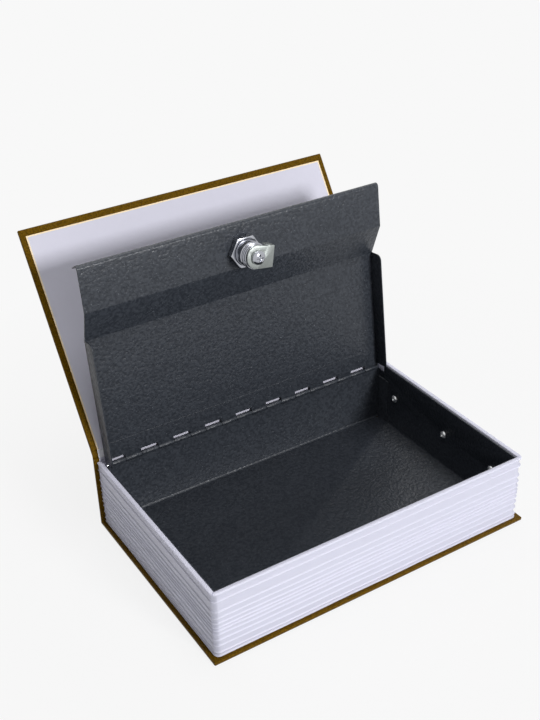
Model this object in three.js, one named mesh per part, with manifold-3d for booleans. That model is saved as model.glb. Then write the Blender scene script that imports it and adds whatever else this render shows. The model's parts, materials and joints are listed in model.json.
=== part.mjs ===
// Book diversion safe: a hollow "book" with a hinged front cover, and a folded steel box with a locking lid
// inside. Millimetres, +Z up. The book lies on its back cover: +X runs along its length, -Y is the fore edge,
// +Y the spine. The origin is in the middle of the back cover's underside. The cover and the lid are modelled
// open.
import * as THREE from "three";
import { mergeVertices } from "three/addons/utils/BufferGeometryUtils.js";
import Module from "manifold-3d";

const wasm = await Module();
wasm.setup();

// Book
const bookLength = 240;
const bookDepth = 157.7;
const boardThickness = 1.6;
const spineBoardThickness = 1.25;
const wrapThickness = 0.4;
const paperThickness = 0.2;
const turnInWidth = 14;
const paperSideMargin = 4;
const paperForeMargin = 4.9;
const frontCoverDepth = 155.9;
const coverOverhang = 1.95;
const rimHeight = 52;
const coverLift = 1.8;
const spineTopBelowCrease = 2.1;
const wrapTopBelowCrease = 0.3;
const coverRootGap = 3;
const jointStripStart = 0.5;
const jointStripEnd = 2.7;
const jointStripThickness = 0.8;
const coverOpenAngle = 123.1;

// Page block, a moulded shell with the leaves' edges cast in three sides
const shellWall = 3.2;
const shellDraft = 0.6;
const leafRidgeHeight = 0.45;
const leafRidgeHalfHeight = 0.9;
const leafBundleHeights = [2.8, 5.3, 4.7, 4.2, 3.2, 2.5, 3.2, 4.1, 5, 7.9];
const leafTopHeight = 4;
const rimRounding = 0.8;
const blockCornerRadius = 3;
const mitreSlitWidth = 0.5;
const mitreSlitDepth = 0.8;

// Steel box
const sheet = 0.8;
const steelBelowRim = 1.2;
const cornerTabWidth = 12;
const cornerTabHeight = 36;
const rearNotchWidth = 5.9;
const rearNotchDepth = 6;
const reliefRadius = 1.3;

// Hinge
const hingeBelowRim = 4.2;
const hingeBehindEdge = 3.75;
const pinRadius = 0.7;
const pinPlay = 0.15;
const knuckleWall = 0.75;
const windowPitch = 24.8;
const windowLength = 12.9;
const windowMargin = 1.25;
const windowReach = 4;
const wallBelowKnuckles = 0.35;

// Lid
const lidOpenAngle = 97;
const lidFrontPlay = 1.9;
const bandWidth = 32.2;
const slopeLength = 22.1;
const bandDepth = 10.6;
const bendRadius = 2;
const flangeDepth = 11.7;
const flangeStart = 3;
const flangeCornerRadius = 4;
const flangeFootRadius = 1;
const lidTabPlay = 0.5;
const bandSidePlay = 0.45;
const lipRise = 7.6;
const lipSlant = 3.8;
const bandCornerRadius = 1;

// Lock
const lockX = 2;
const lockFromEdge = 21.2;
const barrelRadius = 8.8;
const barrelBoreRadius = 6.7;
const barrelReach = 16.5;
const barrelHeadRadius = 10.4;
const barrelHeadHeight = 2.2;
const barrelHeadChamfer = 1;
const lockHolePlay = 0.3;
const plugRadius = 6.5;
const plugFaceInset = 0.4;
const plugFloorThickness = 1.6;
const plugNeckRadius = 4.55;
const spindleWidth = 6.4;
const spindlePlay = 0.25;
const keywayWidth = 1.3;
const keywayHeight = 8.4;
const keywayPastWafers = 0.4;
const waferCount = 5;
const waferThickness = 0.7;
const waferPitch = 2;
const waferFirst = 2.6;
const waferWidth = 5.2;
const waferInset = 1.2;
const waferPlay = 0.15;
const waferHoleHeight = 6.6;
const waferHoleWidth = 2.6;
const nutAcrossFlats = 20.4;
const nutHeight = 4.6;
const nutPlay = 0.2;
const nutChamfer = 0.9;
const camThickness = 1.6;
const camRoundRadius = 7.8;
const camPastLip = 0.6;
const camTipSlant = 1;
const camShoulderAngle = 80;
const camTopAtTip = 5.6;
const camTabPlay = 0.4;
const camTabDepth = 7.1;
const camTabRoot = 0.5;
const camTabCornerRadius = 2;
const camRestTurn = -8;
const camGap = 0.3;
const camWasherRadius = 5;
const camWasherThickness = 0.7;
const screwHeadRadius = 4.65;
const screwHeadHeight = 2;
const screwShankRadius = 1.95;
const screwShankLength = 7;
const screwRimHeight = 0.8;
const screwShoulder = 1;
const screwCrossReach = 5.1;
const screwCrossWidth = 1.1;
const screwCrossDepth = 1.2;

// Strike on the front wall
const strikeWidth = 22;
const strikeNutPlay = 1.6;
const strikeDrop = 14.1;

// Rivets that hold the steel box in the page block
const rivetAboveFloor = 25;
const rivetRearMargin = 19.5;
const rivetFrontMargin = 21;
const rivetMiddleShift = 3.4;
const rivetHeadRadius = 2.8;
const rivetHeadHeight = 1.1;
const rivetShankRadius = 1.6;
const rivetRimHeight = 0.4;
const rivetCrownRadius = 1.3;
const rivetBite = 1.5;
const rivetHolePlay = 0.15;

// Clearances
const seatGap = 0.1;
const glueLine = 0.02;
const fitGap = 0.3;
const overcut = 1;

// Derived places
const halfLength = bookLength / 2;
const frontY = -bookDepth / 2;
const spineY = bookDepth / 2;
const coverThickness = boardThickness + 2 * wrapThickness;
const boardTop = wrapThickness + boardThickness;
const creaseHeight = rimHeight + coverLift + coverThickness + seatGap + paperThickness;
const spineInnerY = spineY - wrapThickness - spineBoardThickness - paperThickness;
const blockHalfLength = halfLength - coverOverhang;
const blockFrontY = frontY + coverOverhang;
const shellRearY = spineInnerY - fitGap;
const shellInnerX = blockHalfLength - shellWall;
const shellInnerFrontY = blockFrontY + shellWall;
const steelOuterX = shellInnerX - fitGap;
const steelInnerX = steelOuterX - sheet;
const steelOuterFrontY = shellInnerFrontY + fitGap;
const steelInnerFrontY = steelOuterFrontY + sheet;
const blockBase = coverThickness + seatGap;
const steelTop = rimHeight - steelBelowRim;
const hingeY = spineY - hingeBehindEdge;
const hingeHeight = rimHeight - hingeBelowRim;
const knuckleBore = pinRadius + pinPlay;
const knuckleRadius = knuckleBore + knuckleWall;
const rearWallInnerY = hingeY - sheet / 2;
const rearWallOuterY = hingeY + sheet / 2;
const rearWallTop = hingeHeight - knuckleRadius - wallBelowKnuckles;
const floorTop = blockBase + sheet;
const panelHalf = steelInnerX - sheet - lidTabPlay;
const bandHalf = steelInnerX - bandSidePlay;
const windowStart = windowMargin - panelHalf;
const windowRun = 2 * panelHalf - windowMargin - windowLength;
const windowCount = Math.floor(windowRun / windowPitch) + 1;
const lidReach = hingeY - steelInnerFrontY - lidFrontPlay;
const slopeEnd = lidReach - bandWidth;
const panelLength = slopeEnd - slopeLength;
const bandInner = bandDepth + sheet;
const lockReach = lidReach - lockFromEdge;
const lockY = hingeY - lockReach;
const bandUnderside = hingeHeight - bandInner;
const strikeTop = bandUnderside - fitGap;
const strikeLipFromLock = nutAcrossFlats / 2 + strikeNutPlay;
const strikeLipY = lockY - strikeLipFromLock;
const camFace = barrelReach + camGap;
const tabTop = bandUnderside - camFace + camTabDepth;
const strikeLipBottom = tabTop + fitGap;
const camReach = strikeLipFromLock + camPastLip;
const camTabInner = camTopAtTip - camTabRoot;
const camTabStart = Math.sqrt((barrelRadius + camTabPlay) ** 2 - camTabInner ** 2);
const screwBase = camFace + camThickness + camWasherThickness + 2 * seatGap;
const rivetHeight = floorTop + rivetAboveFloor;
const rivetShankLength = sheet + fitGap + rivetBite;
const barrelHeadBack = -sheet - seatGap;
const barrelHeadFace = barrelHeadBack - barrelHeadHeight;
const plugFace = barrelHeadFace + plugFaceInset;

// Materials
const leatherette = () => new THREE.MeshStandardMaterial({ color: 0x6e4c0c, roughness: 0.55, metalness: 0 });
const greyboard = () => new THREE.MeshStandardMaterial({ color: 0x9a917f, roughness: 0.95, metalness: 0 });
const paper = () => new THREE.MeshStandardMaterial({ color: 0xd4d4e2, roughness: 0.9, metalness: 0 });
const pagePlastic = () => new THREE.MeshStandardMaterial({ color: 0xdcdcec, roughness: 0.6, metalness: 0 });
const paintedSteel = () => new THREE.MeshStandardMaterial({ color: 0x3c3d40, roughness: 0.5, metalness: 0.2 });
const chrome = () => new THREE.MeshStandardMaterial({ color: 0xc4c6ca, roughness: 0.2, metalness: 1 });
const zinc = () => new THREE.MeshStandardMaterial({ color: 0xa9b0b0, roughness: 0.35, metalness: 1 });
const brass = () => new THREE.MeshStandardMaterial({ color: 0xb89a4c, roughness: 0.35, metalness: 1 });
const aluminium = () => new THREE.MeshStandardMaterial({ color: 0xb4b6ba, roughness: 0.4, metalness: 1 });

// A geometry as a manifold solid, with only its positions and its shared vertices merged
function solid(geometry) {
  const bare = geometry.clone();
  bare.deleteAttribute("normal");
  bare.deleteAttribute("uv");
  const merged = mergeVertices(bare, 1e-4);
  return new wasm.Manifold(
    new wasm.Mesh({
      numProp: 3,
      vertProperties: new Float32Array(merged.attributes.position.array),
      triVerts: new Uint32Array(merged.index.array),
    }),
  );
}

// A manifold solid back as a geometry
function geometryOf(body) {
  const mesh = body.getMesh();
  const geometry = new THREE.BufferGeometry();
  geometry.setAttribute("position", new THREE.BufferAttribute(new Float32Array(mesh.vertProperties), 3));
  geometry.setIndex(new THREE.BufferAttribute(new Uint32Array(mesh.triVerts), 1));
  geometry.computeVertexNormals();
  return geometry;
}

const union = (bodies) => bodies.reduce((sum, body) => sum.add(body));
const cutAway = (body, cuts) => cuts.reduce((rest, cut) => rest.subtract(cut), body);

// A named piece of the object, from a geometry or a manifold solid
function piece(name, shape, material) {
  const geometry = shape.isBufferGeometry ? shape : geometryOf(shape);
  const mesh = new THREE.Mesh(geometry, material);
  mesh.name = name;
  return mesh;
}

// A box between two corners, whose faces lie exactly at the given values
function slab(low, high) {
  const box = new THREE.BoxGeometry(2, 2, 2);
  const place = box.attributes.position;
  for (let i = 0; i < place.count; i += 1) {
    const ends = [place.getX(i), place.getY(i), place.getZ(i)];
    place.setXYZ(i, ...ends.map((end, k) => (end < 0 ? low[k] : high[k])));
  }
  return solid(box);
}

// A cylinder along Z between two heights
function rod(radius, z0, z1, [x, y] = [0, 0], sides = 32, startAngle = 0) {
  const cylinder = new THREE.CylinderGeometry(radius, radius, z1 - z0, sides, 1, false, startAngle);
  cylinder.rotateX(Math.PI / 2);
  cylinder.translate(x, y, (z0 + z1) / 2);
  return solid(cylinder);
}

// A closed turned shape about Z, from [radius, height] points that start and end on the axis
function turned(profile, sides = 32) {
  const points = profile.map(([radius, height]) => new THREE.Vector2(radius, height));
  const lathe = new THREE.LatheGeometry(points, sides);
  lathe.rotateX(Math.PI / 2);
  return solid(lathe);
}

// A straight extrusion of a flat shape along Z, between two heights
function plate(shape, z0, z1, curveSegments = 6) {
  const geometry = new THREE.ExtrudeGeometry(shape, { depth: z1 - z0, bevelEnabled: false, curveSegments });
  geometry.translate(0, 0, z0);
  return solid(geometry);
}

// A shape drawn in the Y-Z plane, extruded along X between two ends
function alongX(shape, x0, x1, curveSegments = 4) {
  const geometry = new THREE.ExtrudeGeometry(shape, { depth: x1 - x0, bevelEnabled: false, curveSegments });
  geometry.rotateX(Math.PI / 2);
  geometry.rotateZ(Math.PI / 2);
  geometry.translate(x0, 0, 0);
  return solid(geometry);
}

// A rectangle from [x0, y0] to [x1, y1], with a radius for each corner, counter-clockwise from the lower left
function roundedRectangle([x0, y0], [x1, y1], [r0, r1, r2, r3]) {
  const shape = new THREE.Shape();
  shape.moveTo(x0 + r0, y0);
  shape.lineTo(x1 - r1, y0);
  if (r1) shape.absarc(x1 - r1, y0 + r1, r1, -Math.PI / 2, 0, false);
  shape.lineTo(x1, y1 - r2);
  if (r2) shape.absarc(x1 - r2, y1 - r2, r2, 0, Math.PI / 2, false);
  shape.lineTo(x0 + r3, y1);
  if (r3) shape.absarc(x0 + r3, y1 - r3, r3, Math.PI / 2, Math.PI, false);
  shape.lineTo(x0, y0 + r0);
  if (r0) shape.absarc(x0 + r0, y0 + r0, r0, Math.PI, 1.5 * Math.PI, false);
  return shape;
}

// A polyline with an arc of the given radius at each inner point
function roundedLine(points, radius, steps = 4) {
  const line = [points[0]];
  for (let i = 1; i < points.length - 1; i += 1) {
    const corner = points[i];
    const toBefore = points[i - 1].clone().sub(corner).normalize();
    const toAfter = points[i + 1].clone().sub(corner).normalize();
    const half = Math.acos(toBefore.dot(toAfter)) / 2;
    const inward = toBefore.clone().add(toAfter).normalize();
    const centre = corner.clone().addScaledVector(inward, radius / Math.sin(half));
    const from = corner.clone().addScaledVector(toBefore, radius / Math.tan(half)).sub(centre);
    const turn = -Math.sign(toBefore.cross(toAfter)) * (Math.PI - 2 * half);
    for (let k = 0; k <= steps; k += 1) {
      line.push(from.clone().rotateAround(new THREE.Vector2(), (turn * k) / steps).add(centre));
    }
  }
  line.push(points[points.length - 1]);
  return line;
}

// A folded sheet's section: its middle line with rounded bends, offset by half the thickness to each side
function foldedSection(points, thickness, radius) {
  const line = roundedLine(points.map(([x, y]) => new THREE.Vector2(x, y)), radius);
  const left = [];
  const right = [];
  line.forEach((point, i) => {
    const behind = point.clone().sub(line[Math.max(i - 1, 0)]).normalize();
    const ahead = line[Math.min(i + 1, line.length - 1)].clone().sub(point).normalize();
    const along = behind.clone().add(ahead).normalize();
    const reach = thickness / 2 / Math.max(along.dot(behind), along.dot(ahead));
    const side = new THREE.Vector2(-along.y, along.x).multiplyScalar(reach);
    left.push(point.clone().add(side));
    right.unshift(point.clone().sub(side));
  });
  return new THREE.Shape([...left, ...right]);
}

const repeat = (count, make) => Array.from({ length: count }, (_, i) => make(i));

// Book case: boards, and the leatherette that wraps them and is turned in over their edges
function makeCase() {
  const edge = wrapThickness;
  const boardEndY = spineY - edge;
  const spineTop = creaseHeight - spineTopBelowCrease;
  const spineBoardInner = spineInnerY + paperThickness;
  const backLow = [-halfLength + edge, frontY + edge, edge];
  const backHigh = [halfLength - edge, boardEndY, boardTop];
  const spineLow = [-halfLength + edge, spineBoardInner, coverThickness];
  const spineHigh = [halfLength - edge, boardEndY, spineTop - edge];
  const turnInWindow = slab(
    [-halfLength + turnInWidth, frontY + turnInWidth, edge],
    [halfLength - turnInWidth, spineInnerY - turnInWidth, coverThickness + overcut],
  );
  const rearWrap = cutAway(
    union([
      slab([-halfLength, frontY, 0], [halfLength, spineY, coverThickness]),
      slab([-halfLength, spineBoardInner, 0], [halfLength, spineY, spineTop]),
      slab([-halfLength, boardEndY, 0], [halfLength, spineY, creaseHeight - wrapTopBelowCrease]),
    ]),
    [slab(backLow, backHigh), slab(spineLow, spineHigh), turnInWindow],
  );
  const paperBase = coverThickness + seatGap;
  const spinePaper = slab(
    [-halfLength + paperSideMargin, spineInnerY, paperBase],
    [halfLength - paperSideMargin, spineBoardInner, spineTop],
  );
  return [
    piece("back_board", slab(backLow, backHigh), greyboard()),
    piece("spine_board", slab(spineLow, spineHigh), greyboard()),
    piece("spine_paper", spinePaper, paper()),
    piece("rear_wrap", rearWrap, leatherette()),
  ];
}

// Front cover and its cloth joint. In this group the crease is the X axis, Y runs to the fore edge along the
// outer face, and Z points from the outer face to the inner one.
function makeFrontCover() {
  const cover = new THREE.Group();
  const fore = frontCoverDepth;
  const edge = wrapThickness;
  const boardLow = [-halfLength + edge, coverRootGap + edge, edge];
  const boardHigh = [halfLength - edge, fore - edge, boardTop];
  const turnInWindow = slab(
    [-halfLength + turnInWidth, coverRootGap + turnInWidth, edge],
    [halfLength - turnInWidth, fore - turnInWidth, coverThickness + overcut],
  );
  const frontWrap = cutAway(
    slab([-halfLength, coverRootGap, 0], [halfLength, fore, coverThickness]),
    [slab(boardLow, boardHigh), turnInWindow],
  );
  const endpaper = slab(
    [-halfLength + paperSideMargin, coverRootGap, coverThickness + seatGap],
    [halfLength - paperSideMargin, fore - paperForeMargin, coverThickness + seatGap + paperThickness],
  );
  const board = slab(
    boardLow.map((low) => low + glueLine),
    boardHigh.map((high) => high - glueLine),
  );
  const strip = slab([-halfLength, jointStripStart, 0], [halfLength, jointStripEnd, jointStripThickness]);
  cover.add(
    piece("front_board", board, greyboard()),
    piece("front_wrap", frontWrap, leatherette()),
    piece("front_endpaper", endpaper, paper()),
    piece("joint_strip", strip, leatherette()),
  );
  cover.position.set(0, spineY, creaseHeight);
  cover.rotation.x = THREE.MathUtils.degToRad(180 - coverOpenAngle);
  return cover;
}

// Page block: one moulded shell, open at the spine, with a raised ridge between the cast bundles of leaves.
// It leans in towards its foot by the mould's draft.
function shellInset(z) {
  return (shellDraft * (rimHeight - z)) / (rimHeight - blockBase);
}

function leafRidgePlaces() {
  const heights = [];
  let z = blockBase + leafBundleHeights[0];
  while (z < rimHeight - leafTopHeight) {
    heights.push(z);
    z += leafBundleHeights[heights.length % leafBundleHeights.length];
  }
  return heights;
}

// The outer skin's levels from the foot to the rim, as height and how far the outline is drawn in there
function shellLevels() {
  const ridges = leafRidgePlaces().flatMap((z) => [
    [z - leafRidgeHalfHeight, shellInset(z) + leafRidgeHeight],
    [z, shellInset(z)],
    [z + leafRidgeHalfHeight, shellInset(z) + leafRidgeHeight],
  ]);
  const halfRound = rimRounding * (1 - Math.SQRT1_2);
  return [
    [blockBase, shellInset(blockBase) + leafRidgeHeight],
    ...ridges,
    [rimHeight - rimRounding - leafRidgeHalfHeight, leafRidgeHeight],
    [rimHeight - rimRounding, 0],
    [rimHeight - halfRound, halfRound],
    [rimHeight, rimRounding],
  ];
}

function blockOutline(inset) {
  const x = blockHalfLength - inset;
  const corners = [blockCornerRadius, blockCornerRadius, 0, 0];
  return roundedRectangle([-x, blockFrontY + inset], [x, shellRearY], corners).getPoints(5).slice(0, -1);
}

// A closed solid through outlines of as many points each, one above the other
function stacked(outlines, heights) {
  const size = outlines[0].length;
  const positions = outlines.flatMap((outline, level) => {
    return outline.flatMap(({ x, y }) => [x, y, heights[level]]);
  });
  const indices = [];
  for (let level = 0; level < outlines.length - 1; level += 1) {
    for (let i = 0; i < size; i += 1) {
      const next = (i + 1) % size;
      const low = level * size;
      const high = low + size;
      indices.push(low + i, low + next, high + next, low + i, high + next, high + i);
    }
  }
  const top = (outlines.length - 1) * size;
  THREE.ShapeUtils.triangulateShape(outlines[0], []).forEach(([a, b, c]) => indices.push(a, c, b));
  THREE.ShapeUtils.triangulateShape(outlines.at(-1), []).forEach(([a, b, c]) => {
    indices.push(top + a, top + b, top + c);
  });
  const geometry = new THREE.BufferGeometry();
  geometry.setAttribute("position", new THREE.Float32BufferAttribute(positions, 3));
  geometry.setIndex(indices);
  return solid(geometry);
}

function makePageBlock() {
  const levels = shellLevels();
  const block = stacked(levels.map(([, inset]) => blockOutline(inset)), levels.map(([z]) => z));
  const hollow = slab([-shellInnerX, shellInnerFrontY, 0], [shellInnerX, spineY, rimHeight + overcut]);
  const slits = [-1, 1].map((side) => {
    const slit = new THREE.BoxGeometry(mitreSlitWidth, 2 * shellWall * Math.SQRT2, 2 * mitreSlitDepth);
    slit.rotateZ((side * Math.PI) / 4);
    slit.translate(side * (shellInnerX + shellWall / 2), shellInnerFrontY - shellWall / 2, rimHeight);
    return solid(slit);
  });
  const holes = rivetHoles(shellInnerX - overcut, steelInnerX + rivetShankLength + fitGap);
  return piece("page_block_shell", cutAway(block, [hollow, ...slits, ...holes]), pagePlastic());
}

// Rivets in the two side walls, as the side and the place along Y
function rivetPlaces() {
  const rear = rearWallInnerY - rivetRearMargin;
  const fore = steelInnerFrontY + rivetFrontMargin;
  const middle = (rear + fore) / 2 - rivetMiddleShift;
  return [-1, 1].flatMap((side) => [rear, middle, fore].map((y) => [side, y]));
}

function rivetHoles(near, far) {
  return rivetPlaces().map(([side, y]) => {
    return acrossX(rivetShankRadius + rivetHolePlay, side, near, far, y, rivetHeight);
  });
}

// A cylinder along X on one side of the box, between two distances from the middle
function acrossX(radius, side, near, far, y, z, sides = 20) {
  const cylinder = new THREE.CylinderGeometry(radius, radius, far - near, sides);
  cylinder.rotateZ(Math.PI / 2);
  cylinder.translate((side * (near + far)) / 2, y, z);
  return solid(cylinder);
}

function makeRivets() {
  const shoulder = (rivetHeadRadius + rivetCrownRadius) / 2;
  const profile = [
    [0, -rivetShankLength],
    [rivetShankRadius, -rivetShankLength],
    [rivetShankRadius, seatGap],
    [rivetHeadRadius, seatGap],
    [rivetHeadRadius, seatGap + rivetRimHeight],
    [shoulder, seatGap + (rivetRimHeight + 2 * rivetHeadHeight) / 3],
    [rivetCrownRadius, seatGap + rivetHeadHeight],
    [0, seatGap + rivetHeadHeight],
  ];
  return rivetPlaces().map(([side, y], i) => {
    const mesh = piece(`wall_rivet_${i + 1}`, turned(profile, 20), aluminium());
    mesh.position.set(side * steelInnerX, y, rivetHeight);
    mesh.rotation.y = (-side * Math.PI) / 2;
    return mesh;
  });
}

// The rolled hinge eye between two ends, with its bore on the pin
function eyeAcross(x0, x1, y = 0, z = 0) {
  const ring = new THREE.Shape();
  ring.absarc(y, z, knuckleRadius, 0, 2 * Math.PI, false);
  const bore = new THREE.Path();
  bore.absarc(y, z, knuckleBore, 0, 2 * Math.PI, true);
  ring.holes.push(bore);
  return alongX(ring, x0, x1, 8);
}

// The hinge windows' ends along X. The box's eyes stand in the windows, and the lid's eyes between them.
function windowSpans() {
  return repeat(windowCount, (i) => {
    const start = windowStart + i * windowPitch;
    return [start, start + windowLength];
  });
}

// Steel box: floor, four folded walls, corner tabs, and the hinge eyes on the rear wall
function makeSteelBox() {
  const floor = slab([-steelOuterX, steelOuterFrontY, blockBase], [steelOuterX, rearWallOuterY, floorTop]);
  const front = slab([-steelOuterX, steelOuterFrontY, blockBase], [steelOuterX, steelInnerFrontY, steelTop]);
  const rear = slab([-steelInnerX, rearWallInnerY, blockBase], [steelInnerX, rearWallOuterY, rearWallTop]);
  const walls = [-1, 1].flatMap((side) => {
    const spanX = (near, far) => (side < 0 ? [-far, -near] : [near, far]);
    const [wallLow, wallHigh] = spanX(steelInnerX, steelOuterX);
    const [tabLow, tabHigh] = spanX(steelInnerX - sheet, steelInnerX);
    const wall = slab([wallLow, steelOuterFrontY, blockBase], [wallHigh, rearWallOuterY, steelTop]);
    const notch = slab(
      [wallLow - overcut, rearWallInnerY - rearNotchWidth, steelTop - rearNotchDepth],
      [wallHigh + overcut, rearWallOuterY + overcut, steelTop + overcut],
    );
    const tab = slab(
      [tabLow, rearWallInnerY - cornerTabWidth, floorTop],
      [tabHigh, rearWallOuterY, floorTop + cornerTabHeight],
    );
    return [wall.subtract(notch), tab];
  });
  const eyes = windowSpans().flatMap(([start, end]) => {
    const x0 = start + fitGap;
    const x1 = end - fitGap;
    const neckTop = hingeHeight - knuckleBore - knuckleWall / 2;
    const neck = slab([x0, rearWallInnerY, rearWallTop - sheet], [x1, rearWallOuterY, neckTop]);
    return [neck, eyeAcross(x0, x1, hingeY, hingeHeight)];
  });
  const body = union([floor, front, rear, ...walls, ...eyes]);
  const reliefs = [-1, 1].map((side) => {
    const place = [side * (steelInnerX - sheet - reliefRadius), rearWallInnerY - reliefRadius];
    return rod(reliefRadius, blockBase - overcut, floorTop + overcut, place, 16);
  });
  const holes = rivetHoles(steelInnerX - overcut, steelOuterX + overcut);
  return piece("steel_box", cutAway(body, [...reliefs, ...holes]), paintedSteel());
}

// Strike: a folded bracket on the front wall. The lid's band lands on its shelf, and the cam's tab catches
// its lip.
function makeStrike() {
  const wallY = steelInnerFrontY + seatGap + sheet / 2;
  const shelfZ = strikeTop - sheet / 2;
  const lipY = strikeLipY - sheet / 2;
  const section = foldedSection(
    [[wallY, strikeTop - strikeDrop], [wallY, shelfZ], [lipY, shelfZ], [lipY, strikeLipBottom]],
    sheet,
    sheet,
  );
  const bracket = alongX(section, lockX - strikeWidth / 2, lockX + strikeWidth / 2);
  return piece("strike_bracket", bracket, paintedSteel());
}

// Lid. In this group the hinge pin is the X axis, Y runs over the lid to its free edge, and Z points from the
// outer face to the inner one.
function lidSheet() {
  const middle = sheet / 2;
  const lipLine = lidReach - middle;
  const section = foldedSection(
    [
      [knuckleBore, middle],
      [panelLength, middle],
      [slopeEnd, bandDepth + middle],
      [lipLine, bandDepth + middle],
      [lipLine - lipSlant, bandDepth + middle - lipRise],
    ],
    sheet,
    bendRadius,
  );
  const outline = new THREE.Shape();
  const cornerX = bandHalf - bandCornerRadius;
  const cornerY = lidReach - bandCornerRadius;
  outline.moveTo(-panelHalf, 0);
  outline.lineTo(panelHalf, 0);
  outline.lineTo(panelHalf, panelLength);
  outline.lineTo(bandHalf, slopeEnd);
  outline.absarc(cornerX, cornerY, bandCornerRadius, 0, Math.PI / 2, false);
  outline.absarc(-cornerX, cornerY, bandCornerRadius, Math.PI / 2, Math.PI, false);
  outline.lineTo(-bandHalf, slopeEnd);
  outline.lineTo(-panelHalf, panelLength);
  return alongX(section, -bandHalf, bandHalf).intersect(plate(outline, -lidReach, lidReach));
}

function lidFlange(side) {
  const corners = [0, 0, flangeCornerRadius, flangeFootRadius];
  const shape = roundedRectangle([flangeStart, 0], [panelLength, flangeDepth], corners);
  const near = panelHalf - sheet;
  return side < 0 ? alongX(shape, -panelHalf, -near) : alongX(shape, near, panelHalf);
}

function makeLid() {
  const spans = windowSpans();
  const eyes = spans.map(([, end], i) => eyeAcross(end, i + 1 < windowCount ? spans[i + 1][0] : panelHalf));
  const windows = spans.map(([start, end]) => {
    return slab([start, -knuckleRadius, -overcut], [end, windowReach, sheet + overcut]);
  });
  const lockHole = rod(barrelRadius + lockHolePlay, 0, bandInner + overcut, [lockX, lockReach]);
  const body = union([lidSheet(), lidFlange(-1), lidFlange(1), ...eyes]);
  return piece("lid_panel", cutAway(body, [...windows, lockHole]), paintedSteel());
}

// Lock. In this group Z is the lock's axis with its zero on the band's inner face.
function makeBarrel() {
  const outer = turned([
    [0, barrelHeadFace],
    [barrelHeadRadius - barrelHeadChamfer, barrelHeadFace],
    [barrelHeadRadius, barrelHeadFace + barrelHeadChamfer],
    [barrelHeadRadius, barrelHeadBack],
    [barrelRadius, barrelHeadBack],
    [barrelRadius, barrelReach],
    [0, barrelReach],
  ]);
  const bore = rod(barrelBoreRadius, barrelHeadFace - overcut, barrelReach - plugFloorThickness);
  const outlet = rod(plugNeckRadius + spindlePlay, barrelHeadFace - overcut, barrelReach + overcut);
  return piece("lock_barrel", cutAway(outer, [bore, outlet]), chrome());
}

function waferHeights() {
  return repeat(waferCount, (i) => plugFace + waferFirst + i * waferPitch);
}

function centredBox(width, height, z0, z1) {
  return slab([-width / 2, -height / 2, z0], [width / 2, height / 2, z1]);
}

function makePlug() {
  const shoulder = barrelReach - plugFloorThickness - camGap;
  const spindleEnd = camFace + camThickness;
  const body = union([
    rod(plugRadius, plugFace, shoulder),
    rod(plugNeckRadius, shoulder - overcut, barrelReach),
    centredBox(spindleWidth, spindleWidth, shoulder - overcut, spindleEnd),
  ]);
  const keywayEnd = plugFace + waferFirst + waferCount * waferPitch + keywayPastWafers;
  const keyway = centredBox(keywayWidth, keywayHeight, plugFace - overcut, keywayEnd);
  const slots = waferHeights().map((z) => {
    const width = waferWidth + 2 * waferPlay;
    return centredBox(width, 2 * plugRadius + overcut, z, z + waferThickness + 2 * waferPlay);
  });
  const threadEnd = screwBase - screwShankLength - fitGap;
  const thread = rod(screwShankRadius + spindlePlay, threadEnd, spindleEnd + overcut, [0, 0], 20);
  return piece("lock_plug", cutAway(body, [keyway, ...slots, thread]), zinc());
}

function makeWafers() {
  const height = 2 * (plugRadius - waferInset);
  return waferHeights().map((z, i) => {
    const low = z + waferPlay;
    const high = low + waferThickness;
    const wafer = centredBox(waferWidth, height, low, high);
    const window = centredBox(waferHoleWidth, waferHoleHeight, low - overcut, high + overcut);
    return piece(`lock_wafer_${i + 1}`, wafer.subtract(window), brass());
  });
}

function makeNut() {
  const corner = nutAcrossFlats / 2 / Math.cos(Math.PI / 6);
  const top = seatGap + nutHeight;
  const hexagon = rod(corner, seatGap, top, [0, 0], 6, Math.PI / 6);
  const dome = turned([
    [0, seatGap],
    [corner + overcut, seatGap],
    [corner + overcut, top - nutChamfer],
    [corner - nutChamfer, top],
    [0, top],
  ], 36);
  const bore = rod(barrelRadius + nutPlay, -overcut, top + overcut);
  return piece("lock_nut", hexagon.intersect(dome).subtract(bore), chrome());
}

// The cam: a blade with a round end about the spindle, and a tab bent from its edge back towards the lid
function makeCam() {
  const shoulder = THREE.MathUtils.degToRad(camShoulderAngle);
  const outline = new THREE.Shape();
  outline.moveTo(camReach - camTipSlant, -camRoundRadius);
  outline.lineTo(camReach, camTopAtTip);
  outline.absarc(0, 0, camRoundRadius, shoulder, 1.5 * Math.PI, false);
  const blade = plate(outline, camFace, camFace + camThickness, 24);
  const tabShape = roundedRectangle(
    [camFace - camTabDepth, camTabStart],
    [camFace + camThickness, camReach],
    [camTabCornerRadius, 0, 0, camTabCornerRadius],
  );
  const tab = new THREE.ExtrudeGeometry(tabShape, {
    depth: camThickness,
    bevelEnabled: false,
    curveSegments: 5,
  });
  tab.rotateX(-Math.PI / 2);
  tab.rotateY(-Math.PI / 2);
  tab.translate(0, camTabInner, 0);
  const holeWidth = spindleWidth + 2 * spindlePlay;
  const hole = centredBox(holeWidth, holeWidth, camFace - overcut, camFace + camThickness + overcut);
  return piece("lock_cam", blade.add(solid(tab)).subtract(hole), zinc());
}

function makeCamWasher() {
  const base = camFace + camThickness + seatGap;
  const top = base + camWasherThickness;
  const ring = rod(camWasherRadius, base, top, [0, 0], 28);
  const bore = rod(screwShankRadius + spindlePlay, base - overcut, top + overcut, [0, 0], 20);
  return piece("cam_washer", ring.subtract(bore), zinc());
}

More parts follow.
